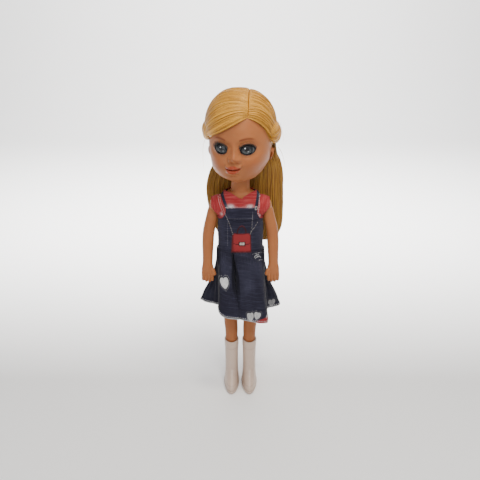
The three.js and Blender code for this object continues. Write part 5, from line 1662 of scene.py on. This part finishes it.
def heart_marks(marks, x, z, side, panel, wing):
    """White hearts, with a stitched outline, on the skirt of the given side."""
    for middle_x, middle_z, width, height, tilt, strength, on_wing in HEARTS[side]:
        where = wing if on_wing else panel
        full, far = heart(x, z, middle_x, middle_z, width, height, tilt)
        turn = np.arctan2(z - middle_z, x - middle_x)
        ring = bell(far, 1.34, 0.06) * smooth(np.sin(turn * 26), -0.2, 0.3) * 0.4
        raise_mark(marks, "white", np.maximum(full, ring) * where * strength)
        raise_mark(marks, "shade", 0.7 * bell(far, 1.15, 0.1) * where)
        for key in ("faded", "metal"):
            marks[key] = marks[key] * (1 - full * where)


def coons_patch(bottom, top, left, right):
    """A grid that meets four edge curves: bottom and top run sideways, left and right upwards."""
    s = np.linspace(0, 1, len(bottom))[None, :, None]
    t = np.linspace(0, 1, len(left))[:, None, None]
    corners = ((1 - s) * (1 - t) * bottom[0] + s * (1 - t) * bottom[-1]
               + (1 - s) * t * top[0] + s * t * top[-1])
    return (1 - t) * bottom[None] + t * top[None] + (1 - s) * left[:, None] + s * right[:, None] - corners


def angle_at(rise, depth, front):
    """The angle on the doll's left where the torso is the given depth in front of or behind y = 0."""
    _, f, b = (v[0] for v in np.moveaxis(along_table(TORSO_FORM, np.array([rise])), -1, 0))
    reach = CHEST_REACH * f if front else BACK_REACH * b
    angle = math.asin(min(1, (depth / reach)) ** 1.25)
    return -angle if front else angle


def side_edge(front, rows):
    """The bodice's edge on the doll's left, from the waist up the side seam and round the armhole."""
    edge = [(angle_at(0.1, 0.35, front), float(rise_of(BODICE_LEVEL))), (angle_at(0.3, 0.35, front), 0.3)]
    for level, fore, aft in ARMHOLE:
        rise = float(rise_of(level))
        edge.append((angle_at(rise, fore if front else aft, front), rise))
    return through(edge, rows)


def bodice_front_edges(columns, rows):
    """Edge curves in angle and rise, laid evenly, from the doll's right side to the left one."""
    right = side_edge(True, rows)
    left = np.stack([-math.pi - right[:, 0], right[:, 1]], -1)
    low = rise_of(BODICE_LEVEL)
    bottom = np.stack([np.linspace(left[0, 0], right[0, 0], columns), np.full(columns, low)], -1)
    line = [(-0.02, float(rise_of(level))) for level in (224.2, 225.9, 227.2, 227.9)]
    for x, level in [(12.2, 228), (10, 227.4), (7.2, 226), (4.4, 224.4), (2.2, 222.9)]:
        rise = float(rise_of(level))
        w = TORSO_HALF_WIDTH * along_table(TORSO_FORM, np.array([rise]))[0, 0] + 1.2
        line.append((-math.acos(min(1, x / w) ** 1.25), rise))
    middle = (-math.pi / 2 + 0.06, float(rise_of(221.9)))
    mirrored = [(-math.pi - a, r) for a, r in line]
    top = through(mirrored + [middle] + line[::-1], columns)
    return bottom, top, left, right


def declare_cloth(grid):
    """Works out the cloth's widest row, its longest column and the area that it really has, and keeps none
    of them.
    """
    width, length = (float(lengths(grid, axis).max()) * MM for axis in (1, 0))
    min(grid_area(grid), width * length)


def soft_wrinkles(place, amount):
    """Low folds of thin cloth that is pulled a little at the armholes and the waist."""
    x, z = place[..., 0], place[..., 2]
    slant = np.sin(0.55 * z + 0.35 * np.abs(x) + 0.4 * np.sin(0.3 * x))
    slant = slant * bell(np.abs(x), 19, 6) * bell(z, 196, 9)
    waist = np.sin(1.1 * x + 0.8 * np.sin(0.5 * z)) * bell(z, 169, 5) * 0.6
    loose = 0.5 * np.sin(0.31 * x + 0.22 * z + 1) * np.sin(0.17 * z - 0.24 * x)
    return amount * (slant + waist + loose)


def build_bodice(material, settings):
    thickness = settings.cloth_thickness / MM
    patch = coons_patch(*bodice_front_edges(190, 132))
    angle, rise = patch[..., 0], patch[..., 1]
    grid = torso_point(rise, angle, 1.2)
    grow = 1.15 + soft_wrinkles(grid, 0.16) + 0.25 * smooth(grid[..., 2], 221, 226)
    grid = eased(torso_point(rise, angle, grow))
    piece = cloth_sheet("bodice_front_cloth", grid, thickness, material, print_marks(grid, 1))
    rides(piece, "torso", "blouse", "bodice_front")
    declare_cloth(grid)
    build_bodice_backs(material, thickness)
    build_sleeves(material, thickness)


def build_bodice_backs(material, thickness):
    columns, rows = 96, 110
    edge = side_edge(False, rows)
    low = float(rise_of(BODICE_LEVEL))
    past = math.pi / 2 + math.asin((5 / TORSO_HALF_WIDTH) ** 1.25)
    far = np.stack([np.full(rows, past), np.linspace(low, 0.993, rows)], -1)
    bottom = np.stack([np.linspace(edge[0, 0], past, columns), np.full(columns, low)], -1)
    top = through([(0.02, float(rise_of(224.2))), (0.02, float(rise_of(226.6))), (0.05, 0.975),
                   (0.35, 0.983), (0.9, 0.988), (math.pi / 2, 0.992), (past, 0.993)], columns)
    patch = coons_patch(bottom, top, edge, far)
    angle, rise = patch[..., 0], patch[..., 1]
    x = TORSO_HALF_WIDTH * np.sign(np.cos(angle)) * np.abs(np.cos(angle)) ** 0.8
    over = OVER_TAPES * (1 - smooth(x, 5 + OVER_TAPES / 2, 0.8 * TORSO_HALF_WIDTH))
    for side, name in SIDES:
        grow = 1.15 + (over if side < 0 else 0)
        wrinkles = soft_wrinkles(torso_point(rise, angle, grow), 0.14)
        grid = eased(torso_point(rise, angle, grow + wrinkles)) * (side, 1, 1)
        marks = print_marks(grid, 0)
        raise_mark(marks, "white", 0.25 * bell(np.linspace(0, 1, columns)[None], 0.955, 0.006))
        if side < 0:
            grid = grid[:, ::-1]
            marks = {key: value[:, ::-1] for key, value in marks.items()}
        piece = cloth_sheet(f"bodice_back_{name}_cloth", grid, thickness, material, marks)
        rides(piece, "torso", "blouse", "bodice_back_" + name)
        declare_cloth(grid)


def build_sleeves(material, thickness):
    """Short sleeves that wrap the shoulders; open below the arm."""
    t = np.linspace(0, 1, 46)[:, None]
    turn = np.radians(150) * np.linspace(-1, 1, 120)[None]
    start = 18 - 3.2 * smooth(np.abs(turn), 0, 1.75)
    stop = 29.9 - 6.8 * smooth(np.abs(turn), 1.3, 2.6)
    x = start + (stop - start) * t
    radius = along_table(SLEEVE_FORM, x)[..., 0]
    radius = radius + 0.13 * np.sin(turn * 21) * smooth(t, 0.4, 1) - 0.25 * bell(t, 0.88, 0.02)
    for side, name in SIDES:
        grid = xyz(side * x, radius * np.sin(turn), SHOULDER_LEVEL + radius * np.cos(turn))
        grid = grid[:, ::-side]
        marks = print_marks(grid, smooth(-grid[..., 1], -1, 1))
        marks["faded"] = marks["faded"] * 0
        piece = cloth_sheet("sleeve_" + name, grid, thickness, material, marks)
        rides(piece, None, "blouse")
        declare_cloth(grid)
        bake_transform(piece)


def eased(place):
    """The cloth let out a little at the sides of the waist, where it stands off the body."""
    x, z = place[..., 0], place[..., 2]
    out = 1.4 * smooth(np.abs(x), 7, 19) * (1 - smooth(z, 184, 207))
    return place + xyz(np.sign(x) * out, 0 * x, 0 * x)


def waist_place(degrees, grow, back_grow):
    degrees = np.asarray(degrees, float)
    angle = np.radians(degrees - 90)
    turned_back = smooth(np.abs(degrees), 110, 160)
    rise = np.full(degrees.shape, float(rise_of(WAIST_LEVEL)))
    return eased(torso_point(rise, angle, grow + (back_grow - grow) * turned_back))


def skirt_grid(table, top, grow, back_grow, columns, rows, folds=0, seed=0):
    """Cloth that falls from the waist to a hem, as a grid that runs round and upwards."""
    table = np.asarray(table, float)
    keyed = np.column_stack([np.linspace(0, 1, len(table)), table])
    line = along_table(keyed, np.linspace(0, 1, columns))
    if line[0, 0] > line[-1, 0]:
        line = line[::-1]
    waist = waist_place(line[:, 0], grow, back_grow)
    hem = np.stack([line[:, 1] * HEM_HALF_WIDTH, line[:, 2] * HEM_DEPTH], -1)
    drop = np.linspace(1, 0, rows)[:, None]
    wing = bell(np.abs(line[None, :, 0]), 98, 14)
    spread = drop ** (1.15 + 0.85 * wing * (1 - smooth(drop, 0.55, 0.88)))
    x, y = (waist[:, k] + (hem[:, k] - waist[:, k]) * spread for k in (0, 1))
    z = top - (top - HEM_LEVEL - line[None, :, 3]) * drop
    grid = xyz(x, y, z)
    if folds:
        normal = normals(grid)
        run = lengths(hem)[None]
        wave = (np.sin(run * 0.42 + 1.3 * np.sin(drop * 2 + seed)) * 0.6
                + np.sin(run * 0.95 + seed + 1.1 * drop) * 0.3
                + np.sin(run * 0.2 + 2 * drop + seed) * 0.35)
        share = np.linspace(0, 1, columns)
        edge = smooth(share, 0, 0.04) * smooth(1 - share, 0, 0.04)
        deeper = (0.35 + 0.65 * smooth(np.abs(line[:, 0]), 60, 95))[None]
        depth = folds * smooth(drop, 0.02, 0.55) * deeper
        grid = grid + normal * (depth * (wave - 0.4) * edge[None])[..., None]
        gathers = 0.32 * np.sin(run * 1.9 + seed) * bell(drop, 0.12, 0.12)
        grid = grid + normal * (gathers * edge[None])[..., None]
    return grid, line


def bend_skirt(piece):
    """The piece with its placement baked into its mesh."""
    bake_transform(piece)


def build_skirt(material, stitch_material, settings):
    for (side, name), table, seed in zip(SIDES, (LEFT_HEM, RIGHT_HEM), (0.6, 2.1)):
        grid, line = skirt_grid(table, 166.7, 2.45, 6.05, 330, 120, 0.9, seed)
        grid = rolled_hem(grid)
        degrees = np.broadcast_to(np.abs(line[None, :, 0]), grid.shape[:2])
        panel = smooth(72 - degrees, 0, 4)
        wing = (1 - panel) * smooth(105 - degrees, 0, 4)
        x, z = grid[..., 0], grid[..., 2]
        marks = print_marks(grid, smooth(96 - degrees, 0, 4))
        marks["denim"] = np.ones_like(x)
        marks["white"] = marks["white"] * smooth(66 - degrees, 0, 5)
        heart_marks(marks, x, z, side, panel, wing)
        level = z - grid[:1, :, 2]
        raise_mark(marks, "white", 0.62 * bell(level, 0.5, 0.55))
        raise_mark(marks, "faded", 0.6 * bell(level, 2.6, 0.9))
        # A dark line just under the waist edge, then painted shade: the wings darkened, shade down the
        # opening, darker rims where the panels turn back, and the whole skirt a little darker.
        raise_mark(marks, "shade", 0.45 * bell(z, 165.8, 0.5))
        raise_mark(marks, "shade", 0.5 * wing)
        middle, half, deep = np.moveaxis(along_table(OPENING_SHADE, z), -1, 0)
        opening = deep * panel * smooth(half + 0.8 - np.abs(x - middle), 0, 2)
        raise_mark(marks, "shade", opening)
        raise_mark(marks, "shade", 0.22 + 0.58 * bell(degrees, 63, 12))
        if side > 0:
            patch = panel * inside_outline(x, z, HEM_PATCH, 0.4)
            raise_mark(marks, "bag", patch)
            marks["white"] = marks["white"] * (1 - 0.85 * patch * bell(x, 21, 6))
            raise_mark(marks, "white", 0.7 * bell(x, 28.6, 1.2) * bell(z, 97.8, 1.2) * panel)
        thickness = settings.cloth_thickness / MM
        piece = cloth_sheet(f"skirt_{name}_cloth", grid, thickness, material, marks)
        rides(piece, None, "denim", "skirt_" + name)
        declare_cloth(grid)
        bend_skirt(piece)
        stitches = build_stitches(f"skirt_{name}_stitches", grid, stitch_material, settings)
        bend_skirt(rides(stitches, None, "denim"))


def rolled_hem(grid):
    """A hem that is a little thicker than the cloth above it."""
    level = grid[..., 2] - grid[:1, :, 2]
    roll = 0.28 * smooth(3.4 - level, 0, 0.5) - 0.2 * bell(level, 3.7, 0.4)
    return grid + normals(grid) * roll[..., None]


def stitch_tree():
    """Short thread loops set end to end along a line, each lying on the cloth."""
    n = GeometryTree("stitch_row", Stitch_length="Float", Thread_radius="Float")
    long, thick = n.given["Stitch length"], n.given["Thread radius"]
    line = n.node("GeometryNodeMeshToCurve", Mesh=n.given["Geometry"])
    spread = n.node("GeometryNodeCurveToPoints", {"mode": "LENGTH"}, Curve=line[0], Length=long)
    stitch = n.node("GeometryNodeMeshUVSphere", Segments=7, Rings=6, Radius=1)
    size = n.node("ShaderNodeCombineXYZ", X=thick, Y=thick, Z=n.times(long, 0.36))
    stitch = n.node("GeometryNodeTransform", Geometry=stitch["Mesh"], Scale=size[0])
    row = n.node("GeometryNodeInstanceOnPoints", Points=spread["Points"], Instance=stitch[0],
                 Rotation=spread["Rotation"])
    return n.close(row[0])


def build_stitches(name, grid, material, settings):
    """A row of hem stitches on the cloth's right side, a little above its edge."""
    raised = grid + normals(grid) * STITCH_LIFT
    up = lengths(grid)
    line = [[np.interp(STITCH_HEIGHT, up[:, c], raised[:, c, k]) for k in range(3)]
            for c in range(2, grid.shape[1] - 2)]
    values = {"Stitch length": settings.stitch_length, "Thread radius": 0.00017, "Material": material}
    return fixed_from(np.array(line), stitch_tree(), name, values)


def build_underlay(material, settings):
    """The inside of the pleat, seen through the opening at the front of the skirt."""
    grid, _ = skirt_grid(UNDERLAY_HEM, 164.2, 1.35, 1.35, 70, 90)
    grid = rolled_hem(grid)
    level = grid[..., 2] - grid[:1, :, 2]
    marks = {key: 0 * level for key in PRINT_MARKS}
    # Painted shade: the underlay darkened, more so higher up inside the pleat.
    marks.update(denim=1 + 0 * level, shade=0.6 * smooth(level, 2, 40) + 0.2,
                 white=0.6 * bell(level, 0.5, 0.55), faded=0.4 * bell(level, 2.6, 0.9))
    thickness = settings.cloth_thickness / MM
    piece = cloth_sheet("pleat_underlay_cloth", grid, thickness, material, marks)
    rides(piece, None, "denim", "pleat_underlay")
    declare_cloth(grid)
    bend_skirt(piece)


def build_tapes(loops, hooks):
    """The back closure: a looped tape on the left back and a hooked one on the right."""
    half = math.asin((4 / TORSO_HALF_WIDTH) ** 1.25)
    angles = np.linspace(math.pi / 2 - half, math.pi / 2 + half, 26)[None]
    rises = np.linspace(0.2, 0.86, 150)[:, None]
    for name, material, grow in (("loop_tape", loops, 2.35), ("hook_tape", hooks, 3.45)):
        piece = cloth_sheet(name + "_cloth", torso_point(rises, angles, grow), 0.75, material)
        rides(piece, "torso", "tape", name)


# Stage

PICTURE_WIDTH = 480
FOCAL_LENGTH = 532
SENSOR_WIDTH = 36
CAMERA_PLACE = (-0.0005, -0.5277, 0.3686)
CAMERA_DOWN = 20.2
SKY = (0.93, 0.94, 0.96, 1)
# Lights: place, aim, share of the main power, size and colour
LIGHTS = {
    "key": ((0.16, -0.66, 0.94), (0, 0, 0.19), 1, 0.36, (1, 0.965, 0.92)),
    "fill": ((-0.75, -0.75, 0.42), (0, 0, 0.19), 0.20, 0.6, (0.94, 0.97, 1)),
    "top": ((0.12, -0.14, 0.74), (0, -0.01, 0.31), 0.24, 0.12, (1, 0.93, 0.80)),
    "sweep": ((0, 0.45, 1.05), (0, 2.2, 0.3), 15, 1.2, (1, 0.99, 0.98)),
}


def build_stage(settings):
    """A pale floor that curves up behind the doll, soft lights and the camera of the photograph."""
    n = Nodes("studio_floor")
    pale = tuple(settings.floor)
    deeper = tuple(c * 0.97 for c in pale)
    material = n.finish(n.blend(n.noise(n.where(), 3, 2), pale, deeper), 0.6)
    side = np.linspace(-3000, 3000, 9)
    bend = np.linspace(0, math.pi / 2, 16)
    profile = np.vstack([[-2500, 0], [1500, 0],
                         np.stack([1600 + 900 * np.sin(bend), 900 - 900 * np.cos(bend)], -1),
                         [2500, 2600]])
    points = [(x, y, z - 0.05) for y, z in profile for x in side]
    make_mesh("studio_floor", points, grid_faces(len(profile), len(side)), material)
    scene = bpy.context.scene
    world = scene.world or bpy.data.worlds.new("studio")
    scene.world = world
    world.use_nodes = True
    sky = world.node_tree.nodes["Background"]
    sky.inputs["Color"].default_value = SKY
    sky.inputs["Strength"].default_value = 0.60
    for name, (place, aim, power, size, color) in LIGHTS.items():
        data = bpy.data.lights.new(name, "AREA")
        data.energy, data.size, data.color = settings.key_power * power, size, color
        lamp = bpy.data.objects.new(name, data)
        lamp.location = place
        lamp.rotation_euler = (Vector(aim) - lamp.location).to_track_quat("-Z", "Y").to_euler()
        scene.collection.objects.link(lamp)
    data = bpy.data.cameras.new("view")
    data.sensor_width, data.lens = SENSOR_WIDTH, SENSOR_WIDTH * FOCAL_LENGTH / PICTURE_WIDTH
    data.clip_start, data.clip_end = 0.02, 20
    camera = bpy.data.objects.new("view", data)
    camera.location = CAMERA_PLACE
    camera.rotation_euler = (math.radians(90 - CAMERA_DOWN), 0, 0)
    scene.collection.objects.link(camera)
    scene.camera = camera


# Operators

class DOLL_OT_stage(bpy.types.Operator):
    """Lay the pale floor and set the soft lights and the camera"""
    bl_idname = "doll.stage"
    bl_label = "Stage"

    def execute(self, context):
        build_stage(context.scene.doll_stage)
        return {"FINISHED"}


class DOLL_OT_head(bpy.types.Operator):
    """Sculpt the vinyl face and ears, with the painted brows, lips and liner"""
    bl_idname = "doll.head"
    bl_label = "Head"

    def execute(self, context):
        material = vinyl_skin(context.scene.doll_skin)
        build_head_skin(material)
        build_ears(material)
        return {"FINISHED"}


class DOLL_OT_eyes(bpy.types.Operator):
    """Set the lacquered eyes and their lashes into the face"""
    bl_idname = "doll.eyes"
    bl_label = "Eyes and lashes"

    def execute(self, context):
        settings = context.scene.doll_skin
        build_eyes(eye_finish(settings))
        build_lashes(lash_finish(), settings)
        return {"FINISHED"}


class DOLL_OT_combed_hair(bpy.types.Operator):
    """Comb the hair from the parting to both sides, over the rooted layer"""
    bl_idname = "doll.combed_hair"
    bl_label = "Combed hair"

    def execute(self, context):
        settings = context.scene.doll_hair
        material = hair_finish("hair_combed", settings)
        # The rooted layer is darkened as painted shade under the combed hair.
        build_hair_cap(hair_finish("hair_rooted", settings, 0.35))
        sides = (("left", LEFT_GUIDES, ()), ("right", RIGHT_GUIDES, ("hair_fringe",)))
        for side, guides, nodes in sides:
            seed = settings.seed + len(side)
            top = build_sweep("hair_sweep_" + side, guides, material, seed, *nodes)
            build_locks("hair_locks_" + side, top, material, settings.combed_locks, seed,
                        settings.lock_width, settings.lock_depth)
        return {"FINISHED"}


class DOLL_OT_twists(bpy.types.Operator):
    """Wind the hair at the temples into two twists that meet behind the head"""
    bl_idname = "doll.twists"
    bl_label = "Twists and tie"

    def execute(self, context):
        settings = context.scene.doll_hair
        material = hair_finish("hair_combed", settings)
        build_twist("hair_twist_left", LEFT_TWIST, 2.6, settings.seed, material, "hair_gather_left")
        build_twist("hair_twist_right", RIGHT_TWIST, -2.4, settings.seed + 2, material,
                    "hair_gather_right")
        build_hair_tie(tape_finish("tie_rubber", (0.30, 0.17, 0.07)))
        return {"FINISHED"}


class DOLL_OT_long_hair(bpy.types.Operator):
    """Hang the long straight hair down the back, with a few loose strands"""
    bl_idname = "doll.long_hair"
    bl_label = "Long hair"

    def execute(self, context):
        settings = context.scene.doll_hair
        # The long hair is darkened as painted shade.
        material = hair_finish("hair_long", settings, 0.6)
        build_long_hair(material, settings)
        build_stray_hairs(hair_finish("hair_combed", settings))
        return {"FINISHED"}


class DOLL_OT_torso(bpy.types.Operator):
    """Finish the torso halves in vinyl and grow the neck out of them"""
    bl_idname = "doll.torso"
    bl_label = "Torso and neck"

    def execute(self, context):
        material = vinyl_skin(context.scene.doll_skin)
        build_neck(material)
        for node in ("torso_front", "torso_back"):
            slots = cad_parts[node].data.materials
            slots.clear()
            slots.append(material)
        return {"FINISHED"}


class DOLL_OT_arms(bpy.types.Operator):
    """Grow the arms with their hands and fingers"""
    bl_idname = "doll.arms"
    bl_label = "Arms"

    def execute(self, context):
        build_arms(vinyl_skin(context.scene.doll_skin))
        return {"FINISHED"}


class DOLL_OT_legs(bpy.types.Operator):
    """Grow the legs with their hip discs"""
    bl_idname = "doll.legs"
    bl_label = "Legs"

    def execute(self, context):
        build_legs(vinyl_skin(context.scene.doll_skin))
        return {"FINISHED"}


class DOLL_OT_boots(bpy.types.Operator):
    """Mould the ankle boots"""
    bl_idname = "doll.boots"
    bl_label = "Boots"

    def execute(self, context):
        build_boots(boot_finish(context.scene.doll_boots))
        return {"FINISHED"}


class DOLL_OT_bodice(bpy.types.Operator):
    """Sew the printed bodice with its cap sleeves and the tapes behind"""
    bl_idname = "doll.bodice"
    bl_label = "Bodice"

    def execute(self, context):
        settings = context.scene.doll_dress
        build_bodice(dress_finish("dress_print", settings), settings)
        build_tapes(tape_finish("tape_loops", (0.72, 0.71, 0.69)),
                    tape_finish("tape_hooks", (0.66, 0.65, 0.64)))
        return {"FINISHED"}


class DOLL_OT_skirt(bpy.types.Operator):
    """Hang the pleated skirt with its stitched hem and printed hearts"""
    bl_idname = "doll.skirt"
    bl_label = "Skirt"

    def execute(self, context):
        settings = context.scene.doll_dress
        material = dress_finish("dress_print", settings)
        build_skirt(material, thread_finish(settings), settings)
        build_underlay(material, settings)
        return {"FINISHED"}


class DOLL_PT_panel(bpy.types.Panel):
    """Sizes, colours and pieces of the doll"""
    bl_idname = "DOLL_PT_panel"
    bl_label = "Play Doll"
    bl_space_type = "VIEW_3D"
    bl_region_type = "UI"
    bl_category = "Doll"

    def draw(self, context):
        layout = self.layout
        for operator in OPERATORS:
            layout.operator(operator.bl_idname)
        for name in SETTINGS:
            box = layout.box()
            group = getattr(context.scene, name)
            for key in group.bl_rna.properties.keys():
                if key not in ("rna_type", "name"):
                    box.prop(group, key)


SETTINGS = {
    "doll_skin": DollSkinSettings,
    "doll_hair": DollHairSettings,
    "doll_dress": DollDressSettings,
    "doll_boots": DollBootSettings,
    "doll_stage": DollStageSettings,
}
OPERATORS = (
    DOLL_OT_stage, DOLL_OT_head, DOLL_OT_eyes, DOLL_OT_combed_hair, DOLL_OT_twists,
    DOLL_OT_long_hair, DOLL_OT_torso, DOLL_OT_arms, DOLL_OT_legs, DOLL_OT_boots, DOLL_OT_bodice,
    DOLL_OT_skirt,
)


def register():
    for name, group in SETTINGS.items():
        bpy.utils.register_class(group)
        setattr(bpy.types.Scene, name, bpy.props.PointerProperty(type=group))
    for item in (*OPERATORS, DOLL_PT_panel):
        bpy.utils.register_class(item)


def unregister():
    for item in reversed((*OPERATORS, DOLL_PT_panel)):
        bpy.utils.unregister_class(item)
    for name, group in reversed(SETTINGS.items()):
        delattr(bpy.types.Scene, name)
        bpy.utils.unregister_class(group)


def main():
    register()
    bpy.ops.doll.stage()
    bpy.ops.doll.head()
    bpy.ops.doll.eyes()
    bpy.ops.doll.combed_hair()
    bpy.ops.doll.twists()
    bpy.ops.doll.long_hair()
    bpy.ops.doll.torso()
    bpy.ops.doll.arms()
    bpy.ops.doll.legs()
    bpy.ops.doll.boots()
    bpy.ops.doll.bodice()
    bpy.ops.doll.skirt()


if __name__ == "__main__":
    main()
